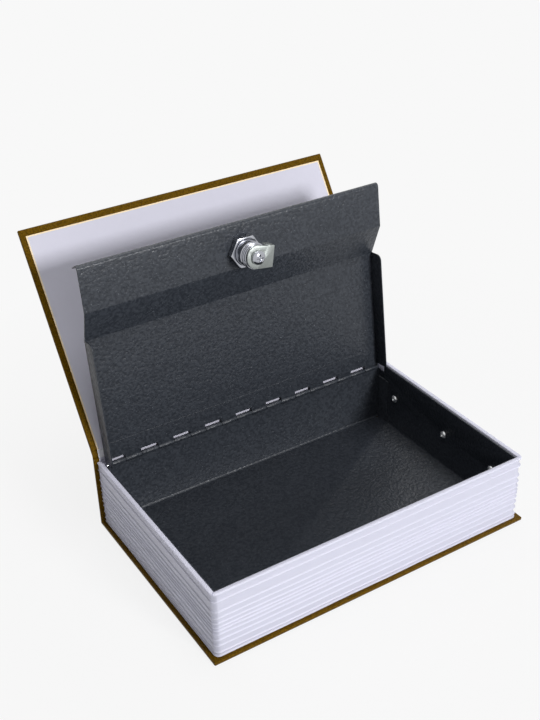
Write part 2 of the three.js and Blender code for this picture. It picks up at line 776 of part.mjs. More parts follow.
function makeCamScrew() {
  const top = screwBase + screwHeadHeight;
  const body = turned([
    [0, screwBase - screwShankLength],
    [screwShankRadius, screwBase - screwShankLength],
    [screwShankRadius, screwBase],
    [screwHeadRadius, screwBase],
    [screwHeadRadius, screwBase + screwRimHeight],
    [screwHeadRadius - screwShoulder, top - screwShoulder / 2],
    [screwHeadRadius - 2 * screwShoulder, top],
    [0, top],
  ], 28);
  const cross = [
    centredBox(screwCrossReach, screwCrossWidth, top - screwCrossDepth, top + overcut),
    centredBox(screwCrossWidth, screwCrossReach, top - screwCrossDepth, top + overcut),
  ];
  return piece("cam_screw", cutAway(body, cross), chrome());
}

function makeLock() {
  const lock = new THREE.Group();
  const turning = new THREE.Group();
  turning.rotation.z = THREE.MathUtils.degToRad(camRestTurn);
  turning.add(makePlug(), ...makeWafers(), makeCam(), makeCamWasher(), makeCamScrew());
  lock.add(makeBarrel(), makeNut(), turning);
  lock.position.set(lockX, lockReach, bandInner);
  return lock;
}

function makeLidGroup() {
  const lid = new THREE.Group();
  lid.add(makeLid(), makeLock());
  lid.position.set(0, hingeY, hingeHeight);
  lid.rotation.x = THREE.MathUtils.degToRad(180 - lidOpenAngle);
  return lid;
}

function makeHingePin() {
  const pin = new THREE.CylinderGeometry(pinRadius, pinRadius, 2 * panelHalf, 16);
  pin.rotateZ(Math.PI / 2);
  pin.translate(0, hingeY, hingeHeight);
  return piece("hinge_pin", solid(pin), chrome());
}

const safe = new THREE.Group();
safe.add(
  ...makeCase(),
  makeFrontCover(),
  makePageBlock(),
  makeSteelBox(),
  makeStrike(),
  ...makeRivets(),
  makeHingePin(),
  makeLidGroup(),
);

export default safe;
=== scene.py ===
"""Book diversion safe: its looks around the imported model. Metres, +Z up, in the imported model's own frame."""

import json
import math

import bmesh
import bpy
import numpy as np
from bpy.props import FloatProperty, FloatVectorProperty, IntProperty, PointerProperty
from mathutils import Matrix, Vector


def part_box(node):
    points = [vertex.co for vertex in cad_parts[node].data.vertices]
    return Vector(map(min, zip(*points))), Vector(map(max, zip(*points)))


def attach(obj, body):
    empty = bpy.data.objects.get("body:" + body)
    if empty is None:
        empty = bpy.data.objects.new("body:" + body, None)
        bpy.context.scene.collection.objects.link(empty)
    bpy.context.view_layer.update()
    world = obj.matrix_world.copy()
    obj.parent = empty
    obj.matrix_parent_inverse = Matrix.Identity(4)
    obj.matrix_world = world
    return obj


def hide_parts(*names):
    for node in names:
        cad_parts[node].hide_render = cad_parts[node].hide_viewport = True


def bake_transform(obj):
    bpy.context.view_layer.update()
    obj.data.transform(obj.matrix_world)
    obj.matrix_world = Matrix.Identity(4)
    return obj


bl_info = {
    "name": "Book Diversion Safe",
    "version": (1, 0, 0),
    "blender": (4, 5, 0),
    "location": "3D View > Sidebar > Book Safe",
    "description": "Dresses an open book safe: leatherette cover, page block, coated steel box, lid and lock",
    "category": "Add Mesh",
}

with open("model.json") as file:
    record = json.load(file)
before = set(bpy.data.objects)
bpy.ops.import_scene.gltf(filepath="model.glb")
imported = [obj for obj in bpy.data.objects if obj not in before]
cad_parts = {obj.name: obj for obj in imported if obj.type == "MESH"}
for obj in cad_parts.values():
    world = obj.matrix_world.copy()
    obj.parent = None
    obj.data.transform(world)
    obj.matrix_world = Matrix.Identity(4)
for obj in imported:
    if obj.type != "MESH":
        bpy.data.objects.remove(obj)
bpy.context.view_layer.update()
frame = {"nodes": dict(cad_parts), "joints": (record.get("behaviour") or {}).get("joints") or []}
MM = 0.001
JOINTS = {joint["name"]: joint for joint in frame["joints"]}
HINGE = Vector(JOINTS["lid_hinge"]["pos_m"])
CREASE = Vector(JOINTS["cover_hinge"]["pos_m"])


def linear(colour):
    """An sRGB hex colour as linear red, green and blue."""
    channels = [int(colour[i:i + 2], 16) / 255 for i in (1, 3, 5)]
    return tuple(c / 12.92 if c <= 0.04045 else ((c + 0.055) / 1.055) ** 2.4 for c in channels)


def size(name, default, description):
    """A length, held in metres and given here in millimetres."""
    return FloatProperty(name=name, description=description, default=default * MM, unit="LENGTH", precision=5)


def colour(name, default, description):
    return FloatVectorProperty(
        name=name, description=description, default=linear(default), subtype="COLOR", min=0, max=1
    )


def angle(name, default, description):
    return FloatProperty(name=name, description=description, default=math.radians(default), subtype="ANGLE")


def ratio(name, default, description):
    return FloatProperty(name=name, description=description, default=default, min=0)


class BookSafeCover(bpy.types.PropertyGroup):
    thickness: size("Cover thickness", 2.4, "Board with its leatherette on both sides")
    spine_thickness: size("Spine thickness", 1.75, "Spine board with its leatherette")
    edge_radius: size("Edge radius", 0.75, "Rounding where the leatherette goes round a board's edge")
    front_depth: size("Front cover depth", 155.9, "From the crease to the front cover's fore edge")
    root_gap: size("Root gap", 3, "From the crease to the front cover's board")
    side_margin: size("Side border", 4, "Leatherette that shows at the endpaper's ends")
    fore_margin: size("Fore border", 4.9, "Leatherette that shows along the endpaper's fore edge")
    paper_thickness: size("Paper thickness", 0.2, "Endpaper and spine lining")
    joint_thickness: size("Joint thickness", 0.75, "The cloth joint's leatherette")
    cut_edge: size("Cut edge", 0.9, "Cream line along the endpaper's cut edge")
    grain: size("Grain", 1.1, "Distance between the grain's pebbles")
    open_angle: angle("Open angle", 123.1, "How far the front cover stands open")
    leather: colour("Leatherette", "#6c4f0a", "Gold-brown leatherette")
    leather_valley: colour("Leatherette grain", "#453104", "Between the grain's pebbles")
    sheen: colour("Leatherette sheen", "#f0c060", "Pearl gold in the leatherette's shine")
    paper: colour("Endpaper", "#d3d2e0", "Endpaper and spine lining")
    paper_edge: colour("Paper edge", "#fbe6c0", "The endpaper's cut edge")
    # Painted light: the lining is the endpaper's paper, given a lighter colour for the light that comes through
    # the hinge windows
    lining: colour("Lining", "#f2f2f8", "Paper in the joint, which shows through the hinge windows")
    board: colour("Greyboard", "#9b9483", "The boards inside the covers")


class BookSafePages(bpy.types.PropertyGroup):
    wall: size("Wall", 3.2, "Thickness of the moulded wall")
    draft: size("Draft", 0.6, "How far the block draws in from its rim to its foot")
    rim_rounding: size("Rim rounding", 0.8, "The rim's outer rounding")
    corner_radius: size("Corner radius", 4.2, "The block's upright corners")
    ridge_height: size("Ridge height", 0.65, "The raised ridge between two bundles of leaves")
    ridge_width: size("Ridge width", 0.95, "Half of a ridge's width")
    wave: size("Wave", 0.3, "How far a ridge wanders up and down along the side")
    leaf_depth: size("Leaf depth", 0.14, "Relief of the single leaves")
    leaf_pitch: size("Leaf pitch", 1.1, "Distance between single leaves")
    corner_gain: ratio("Corner gain", 0.7, "How much deeper the hollows are round the corners")
    slit_width: size("Mitre slit width", 0.5, "Slits in the rim at the fore corners")
    slit_depth: size("Mitre slit depth", 0.8, "Depth of the rim's slits")
    plastic: colour("Page plastic", "#d4d4e4", "Moulded plastic of the page block")
    # Painted shade: the plastic's colour in its hollows, darker than on the ridges
    plastic_hollow_shade: colour("Page hollow", "#babbca", "Plastic in the hollows between the ridges")


class BookSafeSteel(bpy.types.PropertyGroup):
    sheet: size("Sheet", 0.8, "Thickness of the folded steel")
    fold_radius: size("Fold radius", 1.3, "Inner radius of the box's folds")
    tab_height: size("Tab height", 36, "The rear wall's tabs on the side walls")
    lid_start: size("Lid start", 0.85, "Where the lid's sheet leaves its hinge eyes")
    panel_half: size("Panel half length", 112.45, "Half of the lid's panel along the book")
    band_half: size("Band half length", 113.3, "Half of the lock band along the book")
    panel_length: size("Panel length", 91.5, "From the hinge to the slope")
    slope_end: size("Slope end", 113.6, "From the hinge to the lock band")
    lid_reach: size("Lid reach", 145.8, "From the hinge to the lid's free edge")
    band_depth: size("Band depth", 10.6, "How far the lock band is set down")
    lip_rise: size("Lip rise", 7.6, "How far the finger lip along the free edge stands out over the band")
    lip_slant: size("Lip slant", 3.8, "How far the finger lip leans back towards the hinge")
    bend_radius: size("Bend radius", 2, "The lid's bends")
    corner_radius: size("Band corner radius", 1, "The lock band's free corners")
    flange_start: size("Flange start", 3, "Where the side flanges begin")
    flange_depth: size("Flange depth", 11.7, "Depth of the lid's side flanges")
    flange_corner: size("Flange corner", 4, "The side flanges' rounded corner")
    window_start: size("Window start", -111.2, "The first hinge window's end")
    window_pitch: size("Window pitch", 24.8, "Distance between the hinge windows")
    window_length: size("Window length", 12.9, "Length of a hinge window")
    window_reach: size("Window reach", 4, "How far the windows reach into the lid")
    window_count: IntProperty(name="Windows", description="Number of hinge windows", default=9, min=1)
    eye_radius: size("Eye radius", 1.6, "Outer radius of the rolled hinge eyes")
    eye_bore: size("Eye bore", 0.85, "Bore of the rolled hinge eyes")
    pin_radius: size("Pin radius", 0.7, "Hinge pin")
    bead_place: size("Bead place", 15.6, "From the hinge to the faint crease along the lid")
    bead_radius: size("Bead radius", 0.16, "The faint crease along the lid")
    edge_rounding: size("Edge rounding", 0.2, "The coated sheet's edges")
    lid_angle: angle("Lid angle", 97, "How far the lid stands open")
    peel: size("Hammer pattern", 2, "Distance between the coat's dimples")
    # Painted glints: spacing of the light specks set into the coat's colour
    glint_spacing: size("Flake", 0.55, "Distance between the coat's bright flakes")
    coat: colour("Powder coat", "#3b3f46", "Hammered powder coat")
    coat_dark: colour("Powder coat, dark", "#282c33", "The coat between its dimples")
    # Painted glints: the colour of the light specks in the coat
    coat_glint_paint: colour("Powder coat flakes", "#b9bec4", "Bright flakes in the coat")


class BookSafeRivets(bpy.types.PropertyGroup):
    head_radius: size("Head radius", 2.8, "A blind rivet's domed head")
    head_height: size("Head height", 1.4, "Height of the dome")
    mandrel_radius: size("Mandrel radius", 0.85, "The broken mandrel in the middle")
    metal: colour("Aluminium", "#ecedee", "Rivet aluminium")


class BookSafeLock(bpy.types.PropertyGroup):
    place_x: size("Lock place", 2, "Along the book, from the middle")
    reach: size("Lock reach", 124.6, "From the hinge to the lock")
    barrel_radius: size("Barrel radius", 8.8, "Over the thread")
    core_radius: size("Core radius", 8.3, "Under the thread")
    bore_radius: size("Bore radius", 6.7, "The barrel's bore")
    neck_bore: size("Neck bore", 4.8, "Where the plug's neck comes out")
    barrel_reach: size("Barrel reach", 16.5, "Inside the lid")
    barrel_floor: size("Barrel floor", 1.6, "Round the plug's neck")
    head_radius: size("Head radius", 10.4, "On the lid's outer face")
    head_height: size("Head height", 2.2, "On the lid's outer face")
    seat: size("Seat", 0.9, "From the band's inner face to the head")
    thread_start: size("Thread start", 11.9, "Where the rings of thread that show begin")
    thread_pitch: size("Thread pitch", 1.45, "Distance between the thread's turns")
    thread_ridge: size("Thread ridge", 0.5, "Half of a ridge's height")
    rounding: size("Rounding", 0.16, "Edges of nut, cam and screw")
    chrome: colour("Chrome", "#b3b5bc", "Bright chrome plate")
    zinc: colour("Zinc", "#a0a5a3", "Zinc-plated die casting")
    brass: colour("Brass", "#c2a45a", "Stamped wafers")
    wire: colour("Pin wire", "#bfc1c4", "Drawn steel wire")


class BookSafeStage(bpy.types.PropertyGroup):
    azimuth: angle("Azimuth", -31.275, "The camera's bearing; 0 looks along +Y")
    elevation: angle("Elevation", 31.069, "The camera's height above the horizon")
    roll: angle("Roll", -1.758, "The camera's tilt about its own axis")
    distance: size("Distance", 748.703, "From the camera to the plane that it aims at")
    aim_right: size("Aim right", -26.62, "The aim's place along the image")
    aim_up: size("Aim up", 84.628, "The aim's place up the image")
    aim_height: size("Aim height", 30, "Height of the point that both are counted from")
    focal_length: FloatProperty(
        name="Focal length", description="For a 36 mm sensor", default=55.93, unit="CAMERA"
    )
    backdrop: colour("Backdrop", "#f8f8f8", "Floor and background")
    floor_size: FloatProperty(name="Floor size", description="Side of the floor", default=9, unit="LENGTH")
    floor_shade: ratio("Floor shade", 0.1, "Share of real shadow in the floor that the camera sees")
    shade_near: size("Shade near", 160, "Where the shadow begins to fade, from the middle")
    shade_far: size("Shade far", 420, "Where the floor is as plain as the background")
    sky: ratio("Sky", 0.14, "Strength of the even light")
    key: ratio("Key lamp", 60, "Watts of the lamp in front")
    top: ratio("Top lamp", 39, "Watts of the lamp above")
    back: ratio("Back lamp", 5, "Watts of the lamp behind on the right")
    over: ratio("Over lamp", 15, "Watts of the lamp that looks over the lid into the box")
    lamp_distance: FloatProperty(
        name="Lamp distance", description="From the open lid to each lamp", default=3, unit="LENGTH"
    )


def settings(group):
    return getattr(bpy.context.scene, "book_safe_" + group)


# Shader and geometry nodes

def add_node(tree, kind, inputs=None, **options):
    """Adds one node with its settings, and its inputs from a value or from another node's socket."""
    node = tree.nodes.new(kind)
    for name, value in options.items():
        setattr(node, name, value)
    for name, value in (inputs or {}).items():
        if isinstance(value, bpy.types.NodeSocket):
            tree.links.new(value, node.inputs[name])
        else:
            node.inputs[name].default_value = value
    return node


def rgba(rgb):
    return (*rgb[:3], 1)


def pattern(tree, kind, spacing, stretch=(1, 1, 1), **options):
    """A pattern on Object coordinates whose cells lie spacing metres apart."""
    place = add_node(tree, "ShaderNodeTexCoord").outputs["Object"]
    scale = tuple(part / spacing for part in stretch)
    mapped = add_node(tree, "ShaderNodeMapping", {"Vector": place, "Scale": scale})
    inputs = {"Vector": mapped.outputs["Vector"], "Scale": 1, **options.pop("inputs", {})}
    return add_node(tree, kind, inputs, **options)


def band(tree, value, low, high, from_value=0.0, to_value=1.0):
    inputs = {"Value": value, "From Min": low, "From Max": high, "To Min": from_value, "To Max": to_value}
    return add_node(tree, "ShaderNodeMapRange", inputs).outputs["Result"]


def bump(tree, height, distance, strength=1.0):
    inputs = {"Height": height, "Distance": distance, "Strength": strength}
    return add_node(tree, "ShaderNodeBump", inputs).outputs["Normal"]


def mix_colour(tree, factor, first, second):
    node = add_node(tree, "ShaderNodeMix", data_type="RGBA")
    for name, value in (("Factor", factor), ("A", first), ("B", second)):
        kind = "VALUE" if name == "Factor" else "RGBA"
        socket = next(s for s in node.inputs if s.name == name and s.type == kind and s.enabled)
        if isinstance(value, bpy.types.NodeSocket):
            tree.links.new(value, socket)
        else:
            socket.default_value = value if name == "Factor" else rgba(value)
    return next(s for s in node.outputs if s.type == "RGBA" and s.enabled)


def new_material(name, shade, roughness, **sockets):
    """A material with its Principled shader; returns the material, its tree and the shader."""
    material = bpy.data.materials.new(name)
    material.use_nodes = True
    tree = material.node_tree
    shader = tree.nodes["Principled BSDF"]
    shader.inputs["Base Color"].default_value = rgba(shade)
    shader.inputs["Roughness"].default_value = roughness
    for socket, value in sockets.items():
        shader.inputs[socket.replace("_", " ")].default_value = value
    material.diffuse_color = rgba(shade)
    return material, tree, shader


def leatherette():
    # Bookbinding leatherette: PVC on paper, embossed with a pebbled grain, which gives it a soft broken shine
    cover = settings("cover")
    material, tree, shader = new_material("leatherette", cover.leather, 0.42, Specular_IOR_Level=0.22)
    shader.inputs["Specular Tint"].default_value = rgba(cover.sheen)
    pebbles = pattern(tree, "ShaderNodeTexVoronoi", cover.grain, feature="F1", inputs={"Randomness": 0.9})
    fine = pattern(tree, "ShaderNodeTexNoise", cover.grain * 0.45, inputs={"Detail": 3.0})
    patches = pattern(tree, "ShaderNodeTexNoise", 26 * MM, inputs={"Detail": 3.0})
    grain = band(tree, pebbles.outputs["Distance"], 0.15, 0.75, 0, 1)
    worn = mix_colour(tree, patches.outputs["Fac"], tuple(0.78 * c for c in cover.leather), cover.leather)
    shade = mix_colour(tree, grain, worn, cover.leather_valley)
    tree.links.new(shade, shader.inputs["Base Color"])
    tree.links.new(band(tree, fine.outputs["Fac"], 0.3, 0.7, 0.38, 0.56), shader.inputs["Roughness"])
    inputs = {0: grain, 1: fine.outputs["Fac"]}
    height = add_node(tree, "ShaderNodeMath", inputs, operation="SUBTRACT").outputs[0]
    tree.links.new(bump(tree, height, -0.12 * MM, 0.7), shader.inputs["Normal"])
    return material


def paper(name="endpaper", shade=None):
    # Uncoated book paper: matt, with a faint cloud of fibres
    cover = settings("cover")
    shade = shade or cover.paper
    material, tree, shader = new_material(name, shade, 0.82, IOR=1.47)
    clouds = pattern(tree, "ShaderNodeTexNoise", 5 * MM, inputs={"Detail": 5.0})
    fibres = pattern(tree, "ShaderNodeTexNoise", 0.5 * MM, stretch=(0.35, 1, 1), inputs={"Detail": 2.0})
    mottled = mix_colour(tree, clouds.outputs["Fac"], tuple(0.955 * c for c in shade), shade)
    tree.links.new(mottled, shader.inputs["Base Color"])
    tree.links.new(bump(tree, fibres.outputs["Fac"], 0.03 * MM, 0.5), shader.inputs["Normal"])
    return material


def greyboard():
    # Recycled binder's board: grey-brown pulp with dark flecks
    cover = settings("cover")
    material, tree, shader = new_material("greyboard", cover.board, 0.92)
    pulp = pattern(tree, "ShaderNodeTexNoise", 1.5 * MM, inputs={"Detail": 6.0})
    shade = mix_colour(tree, pulp.outputs["Fac"], tuple(0.6 * c for c in cover.board), cover.board)
    tree.links.new(shade, shader.inputs["Base Color"])
    tree.links.new(bump(tree, pulp.outputs["Fac"], 0.1 * MM), shader.inputs["Normal"])
    return material


def page_plastic():
    # Moulded polystyrene with a satin skin; its hollows get a greyer colour as painted shade, most of all round
    # the corners
    pages = settings("pages")
    material, tree, shader = new_material("page_plastic", pages.plastic, 0.5, IOR=1.55)
    # relief carries painted shade: the hollows take the darker colour, most of all round the corners
    relief = add_node(tree, "ShaderNodeAttribute", attribute_name="relief", attribute_type="GEOMETRY")
    long_flat = (0.012, 0.012, 1)
    leaves = pattern(tree, "ShaderNodeTexNoise", pages.leaf_pitch, stretch=long_flat, inputs={"Detail": 2.0})
    clouds = pattern(tree, "ShaderNodeTexNoise", 18 * MM, stretch=(1, 1, 1.6), inputs={"Detail": 2.0})
    base = mix_colour(tree, relief.outputs["Fac"], pages.plastic, pages.plastic_hollow_shade)
    darker = tuple(0.93 * c for c in pages.plastic)
    lines = mix_colour(tree, band(tree, leaves.outputs["Fac"], 0.42, 0.62, 0.25, 0), base, darker)
    shade = mix_colour(tree, band(tree, clouds.outputs["Fac"], 0.35, 0.7, 0.12, 0), lines, darker)
    tree.links.new(shade, shader.inputs["Base Color"])
    tree.links.new(bump(tree, leaves.outputs["Fac"], 0.06 * MM, 0.6), shader.inputs["Normal"])
    return material


def powder_coat():
    # Hammered powder coat on sheet steel: glossy dimples that break up a reflection, and a few light specks
    # painted into its colour as glints
    steel = settings("steel")
    shade = tuple(steel.coat)
    material, tree, shader = new_material("painted_steel", shade, 0.36, IOR=1.5, Specular_IOR_Level=0.3)
    dimples = pattern(tree, "ShaderNodeTexNoise", steel.peel, inputs={"Detail": 1.0, "Roughness": 0.5})
    wide = pattern(tree, "ShaderNodeTexNoise", 21 * MM, inputs={"Detail": 2.0})
    # Light specks painted into the base colour as glints
    glint_cells = pattern(tree, "ShaderNodeTexVoronoi", steel.glint_spacing, feature="F1")
    dark = tuple(steel.coat_dark)
    pick = add_node(tree, "ShaderNodeSeparateColor", {"Color": glint_cells.outputs["Color"]}).outputs["Red"]
    near = band(tree, glint_cells.outputs["Distance"], 0.2, 0.35, 1, 0)
    chosen = band(tree, pick, 0.978, 0.988, 0, 0.5)
    painted_glints = add_node(tree, "ShaderNodeMath", {0: near, 1: chosen}, operation="MULTIPLY").outputs[0]
    coat = mix_colour(tree, band(tree, dimples.outputs["Fac"], 0.36, 0.62), dark, shade)
    coat = mix_colour(tree, band(tree, wide.outputs["Fac"], 0.3, 0.75, 0.3, 0), coat, dark)
    tree.links.new(mix_colour(tree, painted_glints, coat, steel.coat_glint_paint), shader.inputs["Base Color"])
    tree.links.new(band(tree, dimples.outputs["Fac"], 0.3, 0.7, 0.42, 0.3), shader.inputs["Roughness"])
    tree.links.new(bump(tree, dimples.outputs["Fac"], 0.45 * MM, 0.9), shader.inputs["Normal"])
    return material


def metal(name, shade, roughness, spacing, depth, stretch=(1, 1, 1)):
    # A bare or plated metal, with the fine marks that its making leaves
    material, tree, shader = new_material(name, shade, roughness, Metallic=1.0)
    marks = pattern(tree, "ShaderNodeTexNoise", spacing, stretch=stretch, inputs={"Detail": 3.0})
    tarnish = pattern(tree, "ShaderNodeTexNoise", 4 * MM, inputs={"Detail": 2.0})
    duller = tuple(0.86 * c for c in shade)
    tree.links.new(mix_colour(tree, tarnish.outputs["Fac"], duller, shade), shader.inputs["Base Color"])
    spread = band(tree, marks.outputs["Fac"], 0.3, 0.7, 0.8 * roughness, 1.25 * roughness)
    tree.links.new(spread, shader.inputs["Roughness"])
    tree.links.new(bump(tree, marks.outputs["Fac"], depth, 0.6), shader.inputs["Normal"])
    return material


def make_materials():
    lock = settings("lock")
    cover = settings("cover")
    made = {
        "leatherette": leatherette(),
        "endpaper": paper(),
        "paper_cut_edge": paper("paper_cut_edge", cover.paper_edge),
        # The joint lining is painted lighter than the endpaper, as light through the hinge windows
        "joint_lining_painted_light": paper("joint_lining_painted_light", cover.lining),
        "greyboard": greyboard(),
        "page_plastic": page_plastic(),
        "painted_steel": powder_coat(),
        "rivet_aluminium": metal("rivet_aluminium", settings("rivets").metal, 0.42, 0.5 * MM, 0.02 * MM),
        "pin_steel": metal("pin_steel", lock.wire, 0.28, 0.3 * MM, 0.01 * MM, stretch=(0.05, 1, 1)),
        "lock_chrome": metal("lock_chrome", lock.chrome, 0.17, 0.8 * MM, 0.01 * MM),
        "lock_zinc": metal("lock_zinc", lock.zinc, 0.38, 0.35 * MM, 0.02 * MM, stretch=(0.15, 1, 1)),
        "wafer_brass": metal("wafer_brass", lock.brass, 0.3, 0.4 * MM, 0.015 * MM),
    }
    return made


MATERIALS = {}


def material_for(slot):
    if not MATERIALS:
        MATERIALS.update(make_materials())
    return MATERIALS[slot]


# Meshes

def piece(name, mesh, body, slot, replaces=(), materials=()):
    """Adds a finished mesh with its material slot, on its body when one is given."""
    thing = bpy.data.objects.new(name, mesh)
    bpy.context.scene.collection.objects.link(thing)
    if not materials:
        mesh.materials.clear()
    for material in materials or [material_for(slot)]:
        mesh.materials.append(material)
    if body:
        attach(thing, body)
    if replaces:
        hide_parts(*replaces)
    return thing


def dress(node, slot):
    """Gives a CAD node its finish."""
    mesh = frame["nodes"][node].data
    mesh.materials.clear()
    mesh.materials.append(material_for(slot))


def mesh_from(bm, smooth_angle=35):
    """A mesh from a bmesh, smooth except at its sharper edges."""
    bmesh.ops.recalc_face_normals(bm, faces=bm.faces)
    mesh = bpy.data.meshes.new("mesh")
    bm.to_mesh(mesh)
    bm.free()
    soften(mesh, smooth_angle)
    return mesh


def soften(mesh, smooth_angle=35):
    mesh.shade_smooth()
    mesh.set_sharp_from_angle(angle=math.radians(smooth_angle))


def baked(thing):
    """The object's mesh with its modifiers applied; the object goes."""
    graph = bpy.context.evaluated_depsgraph_get()
    mesh = bpy.data.meshes.new_from_object(thing.evaluated_get(graph))
    bpy.data.objects.remove(thing)
    return mesh


def modified(mesh, *modifiers):
    """The mesh after a row of modifiers, each given as (kind, settings)."""
    thing = bpy.data.objects.new("work", mesh)
    bpy.context.scene.collection.objects.link(thing)
    for kind, options in modifiers:
        modifier = thing.modifiers.new(kind.title(), kind)
        for name, value in options.items():
            setattr(modifier, name, value)
    return baked(thing)


def rounding(radius, segments=3, limit=40):
    return ("BEVEL", {
        "width": radius, "segments": segments, "limit_method": "ANGLE", "angle_limit": math.radians(limit),
    })


def outward(mesh):
    bm = bmesh.new()
    bm.from_mesh(mesh)
    bmesh.ops.remove_doubles(bm, verts=bm.verts, dist=1e-6)
    bmesh.ops.recalc_face_normals(bm, faces=bm.faces)
    bm.to_mesh(mesh)
    bm.free()
    return mesh


def block(bm, low, high):
    """A box between two corners, added to a bmesh."""
    made = bmesh.ops.create_cube(bm, size=1)
    centre = (Vector(low) + Vector(high)) / 2
    spans = Vector(high) - Vector(low)
    for vertex in made["verts"]:
        vertex.co = centre + Vector(c * s for c, s in zip(vertex.co, spans))
    return made["verts"]


def prism(section, x0, x1, bm=None):
    """A section in the Y-Z plane, given as (y, z) points, extruded along X."""
    bm = bm or bmesh.new()
    near = [bm.verts.new((x0, y, z)) for y, z in section]
    far = [bm.verts.new((x1, y, z)) for y, z in section]
    count = len(section)
    for i in range(count):
        j = (i + 1) % count
        bm.faces.new((near[i], near[j], far[j], far[i]))
    bm.faces.new(near[::-1])
    bm.faces.new(far)
    return bm


def lathe(profile, steps=48):
    """A closed turned shape about Z from (radius, height) points that start and end on the axis."""
    bm = bmesh.new()
    rings = []
    for radius, height in profile:
        if radius == 0:
            rings.append([bm.verts.new((0, 0, height))])
            continue
        turns = [2 * math.pi * i / steps for i in range(steps)]
        rings.append([bm.verts.new((radius * math.cos(t), radius * math.sin(t), height)) for t in turns])
    for low, high in zip(rings, rings[1:]):
        for i in range(steps):
            j = (i + 1) % steps
            corners = [low[i % len(low)], low[j % len(low)], high[j % len(high)], high[i % len(high)]]
            unique = list(dict.fromkeys(corners))
            if len(unique) > 2:
                bm.faces.new(unique)
    return bm


def bent_line(points, radius, steps=6):
    """A polyline with an arc of the given radius at each inner point."""
    points = [Vector(point) for point in points]
    line = [points[0]]
    for before, corner, after in zip(points, points[1:], points[2:]):
        back = (before - corner).normalized()
        ahead = (after - corner).normalized()
        half = back.angle(ahead) / 2
        centre = corner + (back + ahead).normalized() * radius / math.sin(half)
        spoke = corner + back * radius / math.tan(half) - centre
        turn = -math.copysign(math.pi - 2 * half, back.x * ahead.y - back.y * ahead.x)
        line += [centre + Matrix.Rotation(turn * k / steps, 2) @ spoke for k in range(steps + 1)]
    return line + [points[-1]]


def lid_frame():
    return Matrix.Translation(HINGE) @ Matrix.Rotation(math.pi - settings("steel").lid_angle, 4, "X")


def lock_frame():
    lock = settings("lock")
    steel = settings("steel")
    place = Vector((lock.place_x, lock.reach, steel.band_depth + steel.sheet))
    return lid_frame() @ Matrix.Translation(place)


def cover_frame():
    return Matrix.Translation(CREASE) @ Matrix.Rotation(math.pi - settings("cover").open_angle, 4, "X")


def cad_copy(node, radius):
    """A rounded copy of a CAD node's solid."""
    bm = bmesh.new()
    bm.from_mesh(frame["nodes"][node].data)
    bmesh.ops.remove_doubles(bm, verts=bm.verts, dist=1e-6)
    bmesh.ops.dissolve_limit(bm, angle_limit=math.radians(2), verts=bm.verts, edges=bm.edges)
    mesh = modified(mesh_from(bm), rounding(radius, 2, 35))
    soften(mesh)
    return mesh


# Geometry node trees

def new_tree(name, *sizes):
    """A geometry tree with a geometry in and out, and named inputs given as (name, kind, default)."""
    tree = bpy.data.node_groups.new(name, "GeometryNodeTree")
    tree.interface.new_socket("Geometry", in_out="INPUT", socket_type="NodeSocketGeometry")
    tree.interface.new_socket("Geometry", in_out="OUTPUT", socket_type="NodeSocketGeometry")
    for label, kind, default in sizes:
        socket = tree.interface.new_socket(label, in_out="INPUT", socket_type="NodeSocket" + kind)
        if default is not None:
            socket.default_value = default
    tree.interface.new_socket("Material", in_out="INPUT", socket_type="NodeSocketMaterial")
    return tree, add_node(tree, "NodeGroupInput"), add_node(tree, "NodeGroupOutput")


def close_tree(tree, source, target, geometry):
    """Ends a tree in Realize Instances and Set Material."""
    real = add_node(tree, "GeometryNodeRealizeInstances", {"Geometry": geometry})
    inputs = {"Geometry": real.outputs["Geometry"], "Material": source.outputs["Material"]}
    painted = add_node(tree, "GeometryNodeSetMaterial", inputs)
    tree.links.new(painted.outputs["Geometry"], target.inputs["Geometry"])


def grown(tree, mesh, slot, **values):
    """The mesh that a geometry tree makes of another mesh."""
    thing = bpy.data.objects.new("work", mesh)
    bpy.context.scene.collection.objects.link(thing)
    modifier = thing.modifiers.new("Nodes", "NODES")
    modifier.node_group = tree
    values["Material"] = material_for(slot)
    for item in tree.interface.items_tree:
        if item.in_out == "INPUT" and item.name in values:
            modifier[item.identifier] = values[item.name]
    return baked(thing)


def points_mesh(points):
    mesh = bpy.data.meshes.new("points")
    mesh.from_pydata([tuple(point) for point in points], [], [])
    return mesh


def repeat_tree(name):
    """Sets a template on each point, turned by the point's own rotation."""
    tree, source, target = new_tree(name, ("Template", "Object", None), ("Scale", "Float", 1.0))
    template = add_node(tree, "GeometryNodeObjectInfo", {"Object": source.outputs["Template"]})
    turn = add_node(tree, "GeometryNodeInputNamedAttribute", {"Name": "turn"}, data_type="FLOAT_VECTOR")
    placed = add_node(tree, "GeometryNodeInstanceOnPoints", {
        "Points": source.outputs["Geometry"],
        "Instance": template.outputs["Geometry"],
        "Rotation": turn.outputs["Attribute"],
        "Scale": source.outputs["Scale"],
    })
    close_tree(tree, source, target, placed.outputs["Instances"])
    return tree


